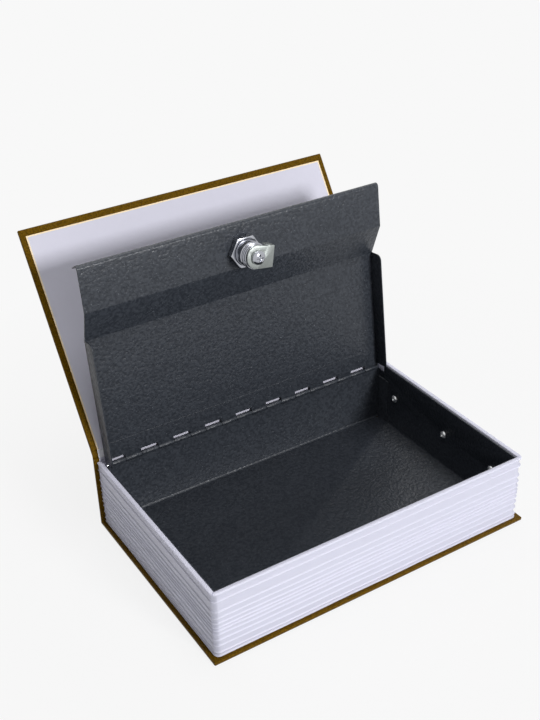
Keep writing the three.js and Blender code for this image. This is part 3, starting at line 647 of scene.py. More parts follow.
def eye_tree():
    """Rolled hinge eyes in a row along X: a ring of sheet, as long as the gap between two windows."""
    tree, source, target = new_tree(
        "hinge_eyes", ("Outer radius", "Float", 1.6 * MM), ("Bore", "Float", 0.85 * MM),
        ("Length", "Float", 10 * MM), ("Rounding", "Float", 0.2 * MM),
    )
    outer, bore = source.outputs["Outer radius"], source.outputs["Bore"]
    total = add_node(tree, "ShaderNodeMath", {0: outer, 1: bore}, operation="ADD").outputs[0]
    middle = add_node(tree, "ShaderNodeMath", {0: total, 1: 0.5}, operation="MULTIPLY").outputs[0]
    wall = add_node(tree, "ShaderNodeMath", {0: outer, 1: bore}, operation="SUBTRACT").outputs[0]
    ring = add_node(tree, "GeometryNodeCurvePrimitiveCircle", {"Resolution": 36, "Radius": middle})
    section = add_node(tree, "GeometryNodeCurvePrimitiveQuadrilateral", {
        "Width": wall, "Height": source.outputs["Length"],
    })
    soft = add_node(tree, "GeometryNodeFilletCurve", {
        "Curve": section.outputs["Curve"], "Radius": source.outputs["Rounding"], "Count": 2,
    }, mode="POLY")
    swept = add_node(tree, "GeometryNodeCurveToMesh", {
        "Curve": ring.outputs["Curve"], "Profile Curve": soft.outputs["Curve"],
    })
    placed = add_node(tree, "GeometryNodeInstanceOnPoints", {
        "Points": source.outputs["Geometry"],
        "Instance": swept.outputs["Mesh"],
        "Rotation": (0, math.pi / 2, 0),
    })
    close_tree(tree, source, target, placed.outputs["Instances"])
    return tree


def thread_tree():
    """A screw thread's ridge, wound about Z."""
    tree, source, target = new_tree(
        "lock_thread", ("Radius", "Float", 0.0085), ("Pitch", "Float", 0.0015), ("Length", "Float", 0.006),
        ("Ridge", "Float", 0.0005),
    )
    turns = add_node(tree, "ShaderNodeMath", {0: source.outputs["Length"], 1: source.outputs["Pitch"]},
                     operation="DIVIDE").outputs[0]
    helix = add_node(tree, "GeometryNodeCurveSpiral", {
        "Resolution": 48, "Rotations": turns, "Start Radius": source.outputs["Radius"],
        "End Radius": source.outputs["Radius"], "Height": source.outputs["Length"],
    })
    section = add_node(tree, "GeometryNodeCurvePrimitiveCircle", {
        "Resolution": 8, "Radius": source.outputs["Ridge"],
    })
    ridge = add_node(tree, "GeometryNodeCurveToMesh", {
        "Curve": helix.outputs["Curve"], "Profile Curve": section.outputs["Curve"], "Fill Caps": True,
    })
    base = add_node(tree, "GeometryNodeJoinGeometry")
    tree.links.new(source.outputs["Geometry"], base.inputs["Geometry"])
    tree.links.new(ridge.outputs["Mesh"], base.inputs["Geometry"])
    close_tree(tree, source, target, base.outputs["Geometry"])
    return tree


def leaf_tree(heights):
    """Presses hollows into a plain block's outer skin, so that ridges stay between the bundles of leaves, and
    stores in relief a painted shade for the hollows, stronger round the corners.
    """
    tree, source, target = new_tree(
        "leaf_relief", ("Ridge height", "Float", 0.0005), ("Ridge width", "Float", 0.0009),
        ("Wave", "Float", 0.0003), ("Leaf depth", "Float", 0.0001), ("Leaf pitch", "Float", 0.0006),
        ("Corner gain", "Float", 0.7),
    )
    place = add_node(tree, "GeometryNodeInputPosition").outputs["Position"]
    height = add_node(tree, "ShaderNodeSeparateXYZ", {"Vector": place}).outputs["Z"]

    def noise(cells):
        """Noise with so many cells to the metre along X, Y and Z."""
        spot = add_node(tree, "ShaderNodeVectorMath", {0: place, 1: cells}, operation="MULTIPLY").outputs[0]
        inputs = {"Vector": spot, "Scale": 1.0, "Detail": 1.0}
        return add_node(tree, "ShaderNodeTexNoise", inputs).outputs["Fac"]

    def math_node(operation, first, second):
        return add_node(tree, "ShaderNodeMath", {0: first, 1: second}, operation=operation).outputs[0]

    swing = math_node("MULTIPLY", source.outputs["Wave"], 4.0)
    wander = math_node("MULTIPLY", math_node("SUBTRACT", noise((22, 22, 90)), 0.5), swing)
    level = math_node("ADD", height, wander)
    nearest = None
    for ridge in heights:
        away = math_node("ABSOLUTE", math_node("SUBTRACT", level, ridge), 0.0)
        nearest = away if nearest is None else math_node("MINIMUM", nearest, away)
    depth = add_node(tree, "ShaderNodeMapRange", {
        "Value": nearest, "From Min": 0.0, "From Max": source.outputs["Ridge width"],
        "To Min": 0.0, "To Max": 1.0,
    }, interpolation_type="SMOOTHSTEP").outputs["Result"]
    per_metre = math_node("DIVIDE", 1.0, source.outputs["Leaf pitch"])
    cells = add_node(tree, "ShaderNodeCombineXYZ", {"X": 3.0, "Y": 3.0, "Z": per_metre}).outputs["Vector"]
    leaves = noise(cells)
    skin = add_node(tree, "GeometryNodeInputNamedAttribute", {"Name": "skin"}, data_type="FLOAT")
    way = add_node(tree, "GeometryNodeInputNamedAttribute", {"Name": "outward"}, data_type="FLOAT_VECTOR")
    facing = add_node(tree, "ShaderNodeSeparateXYZ", {"Vector": way.outputs["Attribute"]})
    across = math_node("ABSOLUTE", math_node("MULTIPLY", facing.outputs["X"], facing.outputs["Y"]), 0.0)
    corner = math_node("MULTIPLY", across, 2.0)
    gain = math_node("ADD", 1.0, math_node("MULTIPLY", corner, source.outputs["Corner gain"]))
    hollow = math_node("MULTIPLY", math_node("MULTIPLY", depth, source.outputs["Ridge height"]), gain)
    pressed = math_node("ADD", hollow, math_node("MULTIPLY", leaves, source.outputs["Leaf depth"]))
    # Painted shade for the hollows, stronger round the corners, kept as relief for the material
    painted_hollow_shade = math_node("MULTIPLY", depth, math_node("ADD", 0.45, math_node("MULTIPLY", corner, 0.55)))
    inward = math_node("MULTIPLY", math_node("MULTIPLY", pressed, skin.outputs["Attribute"]), -1.0)
    relief = math_node("MULTIPLY", painted_hollow_shade, skin.outputs["Attribute"])
    offset = add_node(tree, "ShaderNodeVectorMath", {
        0: way.outputs["Attribute"], "Scale": inward}, operation="SCALE").outputs["Vector"]
    stored = add_node(tree, "GeometryNodeStoreNamedAttribute", {
        "Geometry": source.outputs["Geometry"], "Name": "relief", "Value": relief,
    }, data_type="FLOAT", domain="POINT").outputs["Geometry"]
    moved = add_node(tree, "GeometryNodeSetPosition", {"Geometry": stored, "Offset": offset})
    close_tree(tree, source, target, moved.outputs["Geometry"])
    return tree


# Operators

class BOOKSAFE_OT_stage(bpy.types.Operator):
    """Make the floor, the light and the camera"""
    bl_idname = "book_safe.stage"
    bl_label = "Stage"

    def execute(self, context):
        stage = settings("stage")
        scene = context.scene
        scene.view_settings.view_transform = "Standard"
        self.make_camera(scene, stage)
        self.make_floor(stage)
        self.make_sky(scene, stage)
        self.make_lamp("key_lamp", stage.key, 14, 21, 0.55, stage)
        self.make_lamp("top_lamp", stage.top, 60, 80, 1.8, stage)
        self.make_lamp("back_lamp", stage.back, 141, 38, 0.9, stage)
        self.make_lamp("over_lamp", stage.over, 165, 60, 1.4, stage)
        return {"FINISHED"}

    def make_camera(self, scene, stage):
        azimuth, elevation = stage.azimuth, stage.elevation
        back = Vector((
            math.sin(azimuth) * math.cos(elevation), -math.cos(azimuth) * math.cos(elevation),
            math.sin(elevation),
        ))
        level = Vector((math.cos(azimuth), math.sin(azimuth), 0))
        upright = back.cross(level)
        right = math.cos(stage.roll) * level + math.sin(stage.roll) * upright
        up = math.cos(stage.roll) * upright - math.sin(stage.roll) * level
        aim = Vector((0, 0, stage.aim_height)) + right * stage.aim_right + up * stage.aim_up
        data = bpy.data.cameras.new("camera")
        data.lens = stage.focal_length
        data.sensor_width = 36
        data.clip_start = 0.01
        camera = bpy.data.objects.new("camera", data)
        turn = Matrix((right, up, back)).transposed().to_4x4()
        camera.matrix_world = Matrix.Translation(aim + back * stage.distance) @ turn
        scene.collection.objects.link(camera)
        scene.camera = camera

    def seen_or_lit(self, tree):
        """1 where the camera, a mirror or glass sees the surface, and 0 where it only lights others."""
        path = add_node(tree, "ShaderNodeLightPath")
        both = add_node(tree, "ShaderNodeMath", {
            0: path.outputs["Is Camera Ray"], 1: path.outputs["Is Glossy Ray"],
        }, operation="MAXIMUM").outputs[0]
        return add_node(tree, "ShaderNodeMath", {
            0: both, 1: path.outputs["Is Transmission Ray"],
        }, operation="MAXIMUM").outputs[0]

    def make_floor(self, stage):
        # A seamless paper sweep: the camera sees its own pale colour with a share of the real shadow
        half = stage.floor_size / 2
        mesh = bpy.data.meshes.new("floor")
        corners = [(-half, -half, 0), (half, -half, 0), (half, half, 0), (-half, half, 0)]
        mesh.from_pydata(corners, [], [(0, 1, 2, 3)])
        floor = bpy.data.objects.new("floor", mesh)
        bpy.context.scene.collection.objects.link(floor)
        floor.location.z = -0.05 * MM
        material, tree, shader = new_material("paper_sweep", stage.backdrop, 0.9)
        tint = pattern(tree, "ShaderNodeTexNoise", 0.4, inputs={"Detail": 1.0}).outputs["Fac"]
        paler = tuple(min(1, 1.004 * c) for c in stage.backdrop)
        tree.links.new(mix_colour(tree, tint, stage.backdrop, paler), shader.inputs["Base Color"])
        shader.inputs["Specular IOR Level"].default_value = 0
        glow = add_node(tree, "ShaderNodeEmission", {"Color": rgba(stage.backdrop), "Strength": 1.0})
        place = add_node(tree, "ShaderNodeTexCoord").outputs["Object"]
        away = add_node(tree, "ShaderNodeVectorMath", {0: place}, operation="LENGTH").outputs["Value"]
        plain = band(tree, away, stage.shade_near, stage.shade_far, 1 - stage.floor_shade, 1)
        share = add_node(tree, "ShaderNodeMath", {
            0: self.seen_or_lit(tree), 1: plain,
        }, operation="MULTIPLY").outputs[0]
        lit, seen = shader.outputs["BSDF"], glow.outputs[0]
        mixed = add_node(tree, "ShaderNodeMixShader", {0: share, 1: lit, 2: seen})
        tree.links.new(mixed.outputs[0], tree.nodes["Material Output"].inputs["Surface"])
        mesh.materials.append(material)

    def make_sky(self, scene, stage):
        world = bpy.data.worlds.new("sky")
        world.use_nodes = True
        tree = world.node_tree
        tree.nodes.clear()
        seen = self.seen_or_lit(tree)
        strength = add_node(tree, "ShaderNodeMapRange", {"Value": seen, "To Min": stage.sky, "To Max": 1.0})
        glow = add_node(tree, "ShaderNodeBackground", {
            "Color": rgba(stage.backdrop), "Strength": strength.outputs["Result"],
        })
        output = add_node(tree, "ShaderNodeOutputWorld")
        tree.links.new(glow.outputs[0], output.inputs["Surface"])
        scene.world = world

    def make_lamp(self, name, power, azimuth, elevation, width, stage):
        """A square lamp at a bearing from the front (-Y) towards the right, and at an elevation."""
        azimuth, elevation = math.radians(azimuth), math.radians(elevation)
        target = HINGE + Vector((0, 0, 0.07))
        way = Vector((
            math.sin(azimuth) * math.cos(elevation), -math.cos(azimuth) * math.cos(elevation),
            math.sin(elevation),
        ))
        data = bpy.data.lights.new(name, "AREA")
        data.energy = power
        data.shape = "SQUARE"
        data.size = width
        lamp = bpy.data.objects.new(name, data)
        lamp.location = target + way * stage.lamp_distance
        lamp.rotation_euler = way.to_track_quat("Z", "Y").to_euler()
        bpy.context.scene.collection.objects.link(lamp)


class BOOKSAFE_OT_case(bpy.types.Operator):
    """Make the back cover and the spine"""
    bl_idname = "book_safe.case"
    bl_label = "Back cover and spine"

    def execute(self, context):
        cover = settings("cover")
        low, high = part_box("rear_wrap")
        _, spine_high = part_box("spine_board")
        top = spine_high.z + 0.4 * MM
        inner = high.y - cover.spine_thickness
        section = [
            (low.y, 0), (high.y, 0), (high.y, top), (inner, top),
            (inner, cover.thickness), (low.y, cover.thickness),
        ]
        mesh = mesh_from(prism(section, low.x, high.x))
        mesh = modified(mesh, rounding(cover.edge_radius, 4))
        soften(mesh)
        piece("rear_cover", mesh, "root", "leatherette", ["rear_wrap"])
        dress("back_board", "greyboard")
        dress("spine_board", "greyboard")
        dress("spine_paper", "endpaper")
        return {"FINISHED"}


class BOOKSAFE_OT_front_cover(bpy.types.Operator):
    """Make the front cover, its endpaper and the cloth joint"""
    bl_idname = "book_safe.front_cover"
    bl_label = "Front cover"

    def execute(self, context):
        cover = settings("cover")
        self.place = cover_frame()
        self.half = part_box("front_wrap")[1].x
        self.reach = cover.front_depth
        self.make_skin(cover)
        self.make_endpaper(cover)
        self.make_joint(cover)
        dress("front_board", "greyboard")
        return {"FINISHED"}

    def make_skin(self, cover):
        bm = bmesh.new()
        block(bm, (-self.half, cover.root_gap, 0), (self.half, self.reach, cover.thickness))
        mesh = modified(mesh_from(bm), rounding(cover.edge_radius, 4))
        seam, inset = 0.22 * MM, 0.9 * MM
        rise = Vector((0, 0, 0.09 * MM))
        bm = bmesh.new()
        bm.from_mesh(mesh)
        for side in (-1, 1):
            for end, into in ((self.reach, -1), (cover.root_gap, 1)):
                # The leatherette's mitred fold across each inner corner
                start = Vector((side * (self.half - inset), end + into * inset, cover.thickness))
                along = Vector((-side, into, 0)).normalized() * (cover.side_margin - inset) * math.sqrt(2)
                across = Vector((along.y, -along.x, 0)).normalized() * seam
                corners = [start - across, start + across, start + along + across, start + along - across]
                base = [bm.verts.new(c - Vector((0, 0, seam))) for c in corners]
                ridge = [bm.verts.new(start + rise), bm.verts.new(start + along + rise)]
                bm.faces.new(base)
                bm.faces.new((base[0], base[3], ridge[1], ridge[0]))
                bm.faces.new((base[1], ridge[0], ridge[1], base[2]))
                bm.faces.new((base[0], ridge[0], base[1]))
                bm.faces.new((base[3], base[2], ridge[1]))
        bm.transform(self.place)
        piece("front_cover_skin", mesh_from(bm), "front_cover", "leatherette", ["front_wrap"])

    def make_endpaper(self, cover):
        half = self.half - cover.side_margin
        top = cover.thickness + 0.1 * MM + cover.paper_thickness
        low = Vector((-half, cover.root_gap, cover.thickness + 0.02 * MM))
        high = Vector((half, self.reach - cover.fore_margin, top))
        bm = bmesh.new()
        block(bm, low, high)
        cut = cover.cut_edge
        for axis, at, sign in ((0, low.x + cut, -1), (0, high.x - cut, 1), (1, high.y - cut, 1)):
            normal = Vector((0, 0, 0))
            normal[axis] = sign
            point = Vector((0, 0, 0))
            point[axis] = at
            geometry = bm.verts[:] + bm.edges[:] + bm.faces[:]
            bmesh.ops.bisect_plane(bm, geom=geometry, plane_co=point, plane_no=normal)
        for face in bm.faces:
            centre = face.calc_center_median()
            inside = low.x + cut < centre.x < high.x - cut and centre.y < high.y - cut
            face.material_index = 0 if inside else 1
        bm.transform(self.place)
        materials = [material_for("endpaper"), material_for("paper_cut_edge")]
        piece("front_endpaper_sheet", mesh_from(bm), "front_cover", "endpaper", ["front_endpaper"], materials)

    def band_mesh(self, outer, inner, half):
        """A strip along X between an outer and an inner row of (y, z) points."""
        return mesh_from(prism([*outer, *reversed(inner)], -half, half), 60)

    def along(self, points, sideways):
        """Points of a row moved sideways by a distance."""
        moved = []
        for i, point in enumerate(points):
            way = points[min(i + 1, len(points) - 1)] - points[max(i - 1, 0)]
            moved.append(point + Vector((-way.y, way.x)).normalized() * sideways)
        return moved

    def make_joint(self, cover):
        crease = Vector((CREASE.y, CREASE.z))
        up_cover = Vector((math.cos(math.pi - cover.open_angle), math.sin(math.pi - cover.open_angle)))
        spine = crease + Vector((-0.03 * MM, 0))
        below = [spine - Vector((0, drop * MM)) for drop in (3.2, 2.2, 1.4, 0.8, 0.4)]
        strip = [crease + up_cover * reach * MM for reach in (0.35, 0.75, 1.2, 1.7)]
        lower = below + strip
        upper = [crease + up_cover * reach * MM for reach in (1.6, 2.0, 2.5, 3.1, 3.9)]
        turn = [0.03 * MM * Vector((-up_cover.y, up_cover.x))] * len(upper)
        upper = [point + shift for point, shift in zip(upper, turn)]
        width = self.half - 0.15 * MM
        low_mesh = self.band_mesh(lower, self.along(lower, cover.joint_thickness), width)
        high_mesh = self.band_mesh(upper, self.along(upper, cover.joint_thickness), width)
        joint_low = piece("joint_leather_lower", low_mesh, None, "leatherette", ["joint_strip"])
        joint_high = piece("joint_leather_upper", high_mesh, None, "leatherette")
        fold_start, fold_end = crease - Vector((0, 0.7 * MM)), crease + up_cover * 1.4 * MM
        self.blend(joint_low, "root", "joint_strip", fold_start, fold_end)
        self.blend(joint_high, "joint_strip", "front_cover", upper[0], upper[3])
        self.make_paper_joint(cover, crease, up_cover)

    def make_paper_joint(self, cover, crease, up_cover):
        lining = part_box("spine_paper")
        inner = Vector((-up_cover.y, up_cover.x))
        start = Vector((lining[0].y, lining[1].z - 1.5 * MM))
        end = crease + up_cover * (cover.root_gap + 1 * MM) + inner * (cover.thickness + 0.2 * MM)
        row = [start.lerp(end, t / 8) for t in range(9)]
        half = self.half - cover.side_margin
        thickness = cover.paper_thickness
        # The lower strip takes the row's first six points and the upper strip the rest, sharing one point
        for name, part, fold, bodies in (
            ("paper_joint_lower", row[:6], row[3], ("root", "joint_strip")),
            ("paper_joint_upper", row[5:], row[5], ("joint_strip", "front_cover")),
        ):
            mesh = self.band_mesh(part, self.along(part, -thickness), half)
            # The lining's lighter colour is painted light, for the light through the hinge windows
            strip = piece(name, mesh, None, "endpaper", materials=[material_for("joint_lining_painted_light")])
            self.blend(strip, *bodies, fold, part[-1])

    def blend(self, thing, first, second, start, end):
        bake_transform(thing)


class BOOKSAFE_OT_pages(bpy.types.Operator):
    """Make the moulded page block"""
    bl_idname = "book_safe.pages"
    bl_label = "Page block"

    bundles = (2.8, 5.3, 4.7, 4.2, 3.2, 2.5, 3.2, 4.1, 5.0, 7.9)

    def execute(self, context):
        pages = settings("pages")
        self.low, self.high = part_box("page_block_shell")
        mesh = self.plain_block(pages)
        heights = list(self.low.z + np.cumsum((0.2, *self.bundles)) * MM)
        mesh = grown(leaf_tree(heights), mesh, "page_plastic", **{
            "Ridge height": pages.ridge_height, "Ridge width": pages.ridge_width, "Wave": pages.wave,
            "Leaf depth": pages.leaf_depth, "Leaf pitch": pages.leaf_pitch, "Corner gain": pages.corner_gain,
        })
        mesh = self.slit(mesh, pages)
        soften(mesh, 50)
        piece("page_block", mesh, "root", "page_plastic", ["page_block_shell"])
        return {"FINISHED"}

    def outline(self, x, front, rear, radius, step=2.5 * MM, turns=8):
        """The U-shaped path round three sides, as (x, y) points and the ways outwards."""
        side = np.linspace(rear, front + radius, max(2, int((rear - front) / step)))
        rows = [((-x, y), (-1, 0)) for y in side]
        for k in range(1, turns + 1):
            turn = math.pi + k * math.pi / 2 / turns
            centre = (-x + radius, front + radius)
            way = (math.cos(turn), math.sin(turn))
            rows.append(((centre[0] + radius * way[0], centre[1] + radius * way[1]), way))
        span = np.linspace(-x + radius, x - radius, int(2 * x / step))[1:-1]
        rows += [((u, front), (0, -1)) for u in span]
        for k in range(turns + 1):
            turn = -math.pi / 2 + k * math.pi / 2 / turns
            centre = (x - radius, front + radius)
            way = (math.cos(turn), math.sin(turn))
            rows.append(((centre[0] + radius * way[0], centre[1] + radius * way[1]), way))
        rows += [((x, y), (1, 0)) for y in side[::-1][1:]]
        return rows

    def plain_block(self, pages):
        """The block before its hollows are pressed in: a closed wall round three sides."""
        low, high, wall = self.low, self.high, pages.wall
        outer = self.outline(high.x, low.y, high.y, pages.corner_radius)
        inner = self.outline(high.x - wall, low.y + wall, high.y, 0.3 * MM)
        inner_points = [point for point, _ in inner]
        count = len(outer)
        skin_rows = np.arange(low.z, high.z - pages.rim_rounding, 0.26 * MM)
        tall = high.z - low.z
        columns, skins = [], []
        for i, ((x, y), way) in enumerate(outer):
            at = self.inner_at(inner_points, i, count)
            column = []
            for z in skin_rows:
                inset = pages.draft * (high.z - z) / tall
                edge = min((high.z - pages.rim_rounding - z) / (1.2 * MM), 1)
                column.append((x - way[0] * inset, y - way[1] * inset, z, max(edge, 0)))
            for k in range(5):
                turn = k * math.pi / 8
                drop = pages.rim_rounding * (1 - math.sin(turn))
                inset = pages.rim_rounding * (1 - math.cos(turn))
                column.append((x - way[0] * inset, y - way[1] * inset, high.z - drop, 0))
            for share, drop in ((0.86, 0), (1, 0.4 * MM), (1, tall * 0.5), (1, tall)):
                column.append((x + (at[0] - x) * share, y + (at[1] - y) * share, high.z - drop, 0))
            columns.append(column)
            skins.append(way)
        return self.walls(columns, skins)

    def inner_at(self, points, i, count):
        place = i * (len(points) - 1) / (count - 1)
        k = min(int(place), len(points) - 2)
        t = place - k
        return tuple(points[k][j] * (1 - t) + points[k + 1][j] * t for j in (0, 1))

    def walls(self, columns, ways):
        rows = len(columns[0])
        points = np.array([[p[:3] for p in column] for column in columns]).reshape(-1, 3)
        faces = []
        for i in range(len(columns) - 1):
            for j in range(rows):
                k = (j + 1) % rows
                faces.append((i * rows + j, (i + 1) * rows + j, (i + 1) * rows + k, i * rows + k))
        faces.append(tuple(range(rows)))
        last = (len(columns) - 1) * rows
        faces.append(tuple(range(last + rows - 1, last - 1, -1)))
        mesh = bpy.data.meshes.new("block")
        mesh.from_pydata(points.tolist(), [], faces)
        skin = mesh.attributes.new("skin", "FLOAT", "POINT")
        skin.data.foreach_set("value", [p[3] for column in columns for p in column])
        way = mesh.attributes.new("outward", "FLOAT_VECTOR", "POINT")
        way.data.foreach_set("vector", [c for w in ways for _ in range(rows) for c in (w[0], w[1], 0)])
        bm = bmesh.new()
        bm.from_mesh(mesh)
        bmesh.ops.recalc_face_normals(bm, faces=bm.faces)
        bm.to_mesh(mesh)
        bm.free()
        return mesh

    def slit(self, mesh, pages):
        bm = bmesh.new()
        long = 2 * pages.wall * math.sqrt(2)
        for side in (-1, 1):
            made = block(bm, (-pages.slit_width / 2, -long / 2, -pages.slit_depth),
                         (pages.slit_width / 2, long / 2, pages.slit_depth))
            place = (side * (self.high.x - pages.wall / 2), self.low.y + pages.wall / 2, self.high.z)
            turn = Matrix.Translation(place) @ Matrix.Rotation(side * math.pi / 4, 4, "Z")
            bmesh.ops.transform(bm, matrix=turn, verts=made)
        cutter = bpy.data.objects.new("cutter", mesh_from(bm))
        bpy.context.scene.collection.objects.link(cutter)
        cut = modified(mesh, ("BOOLEAN", {"operation": "DIFFERENCE", "object": cutter, "solver": "EXACT"}))
        bpy.data.objects.remove(cutter)
        return cut


class BOOKSAFE_OT_box(bpy.types.Operator):
    """Finish the steel box, its folds, its strike and its hinge pin"""
    bl_idname = "book_safe.box"
    bl_label = "Steel box"

    def execute(self, context):
        steel = settings("steel")
        for node, name in (("steel_box", "folded_box"), ("strike_bracket", "strike")):
            piece(name, cad_copy(node, steel.edge_rounding), "root", "painted_steel", [node])
        low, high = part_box("steel_box")
        floor = low.z + steel.sheet
        front = low.y + steel.sheet
        rear = HINGE.y - steel.sheet / 2
        side = high.x - steel.sheet
        radius = steel.fold_radius
        bm = bmesh.new()
        at_rear = Matrix.Translation((0, rear, floor)) @ Matrix.Rotation(math.pi / 2, 4, "X")
        self.fillet(bm, radius, side, at_rear)
        self.fillet(bm, radius, side, Matrix.Translation((0, front, floor)))
        middle = (front + rear) / 2
        for sign in (-1, 1):
            turn = Matrix.Rotation(sign * math.pi / 2, 4, "Z")
            place = Matrix.Translation((sign * side, middle, floor))
            self.fillet(bm, radius, (rear - front) / 2, place @ turn)
        tall = steel.tab_height / 2
        for sign in (-1, 1):
            # The fold's own X runs up the corner, and its Y and Z lie along the two walls
            own_y, own_z = ((-1, 0, 0), (0, -1, 0)) if sign > 0 else ((0, -1, 0), (1, 0, 0))
            turn = Matrix(((0, 0, 1), own_y, own_z)).transposed().to_4x4()
            place = Matrix.Translation((sign * (side - steel.sheet), rear, floor + tall))
            self.fillet(bm, radius, tall, place @ turn)
        mesh = mesh_from(bm)
        piece("box_folds", mesh, "root", "painted_steel")
        self.make_pin(steel)
        return {"FINISHED"}

    def fillet(self, bm, radius, half, place):
        """A concave fold along X in the corner of the planes y=0 and z=0, on their +y +z side."""
        arc = [(radius * (1 - math.sin(t)), radius * (1 - math.cos(t)))
               for t in np.linspace(0, math.pi / 2, 7)]
        sunk = -0.1 * MM
        section = [(sunk, sunk), (radius, sunk), *arc, (sunk, radius)]
        start = len(bm.verts)
        prism(section, -half, half, bm)
        bm.verts.ensure_lookup_table()
        bmesh.ops.transform(bm, matrix=place, verts=bm.verts[start:])

    def make_pin(self, steel):
        half = steel.panel_half
        radius = steel.pin_radius
        soft = 0.3 * MM
        profile = [(0, -half), (radius - soft, -half), (radius, -half + soft), (radius, half - soft),
                   (radius - soft, half), (0, half)]
        bm = lathe(profile, 24)
        bm.transform(Matrix.Translation(HINGE) @ Matrix.Rotation(math.pi / 2, 4, "Y"))
        piece("hinge_wire", mesh_from(bm), "root", "pin_steel", ["hinge_pin"])


class BOOKSAFE_OT_rivets(bpy.types.Operator):
    """Make the blind rivets in the side walls"""
    bl_idname = "book_safe.rivets"
    bl_label = "Rivets"

    def execute(self, context):
        rivets = settings("rivets")
        nodes = [f"wall_rivet_{i}" for i in range(1, 7)]
        places, turns = [], []
        for node in nodes:
            low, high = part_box(node)
            centre = (low + high) / 2
            side = 1 if centre.x > 0 else -1
            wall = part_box("steel_box")[1].x - settings("steel").sheet
            places.append((side * (wall - 0.02 * MM), centre.y, centre.z))
            turns.append((0, -side * math.pi / 2, 0))
        points = points_mesh(places)
        turn = points.attributes.new("turn", "FLOAT_VECTOR", "POINT")
        turn.data.foreach_set("vector", [value for row in turns for value in row])
        template = bpy.data.objects.new("rivet", mesh_from(self.rivet(rivets)))
        bpy.context.scene.collection.objects.link(template)
        mesh = grown(repeat_tree("rivets"), points, "rivet_aluminium", Template=template, Scale=1.0)
        bpy.data.objects.remove(template)
        soften(mesh)
        piece("wall_rivets", mesh, "root", "rivet_aluminium", nodes)
        return {"FINISHED"}

    def rivet(self, rivets):
        radius, height, mandrel = rivets.head_radius, rivets.head_height, rivets.mandrel_radius
        dome = [(radius * math.cos(t), height * math.sin(t)) for t in np.linspace(0, math.pi / 2, 9)[1:]]
        dome = [(r, h) for r, h in dome if r > mandrel * 1.25]
        dimple = height * 0.55
        return lathe([
            (0, -1.2 * MM), (0.5 * radius, -1.2 * MM), (0.5 * radius, 0),
            (radius * 0.97, 0), (radius, 0.15 * MM), *dome,
            (mandrel * 1.15, height * 0.86), (mandrel, dimple), (mandrel * 0.8, dimple),
            (mandrel * 0.6, dimple + 0.15 * MM), (0, dimple + 0.2 * MM),
        ], 28)


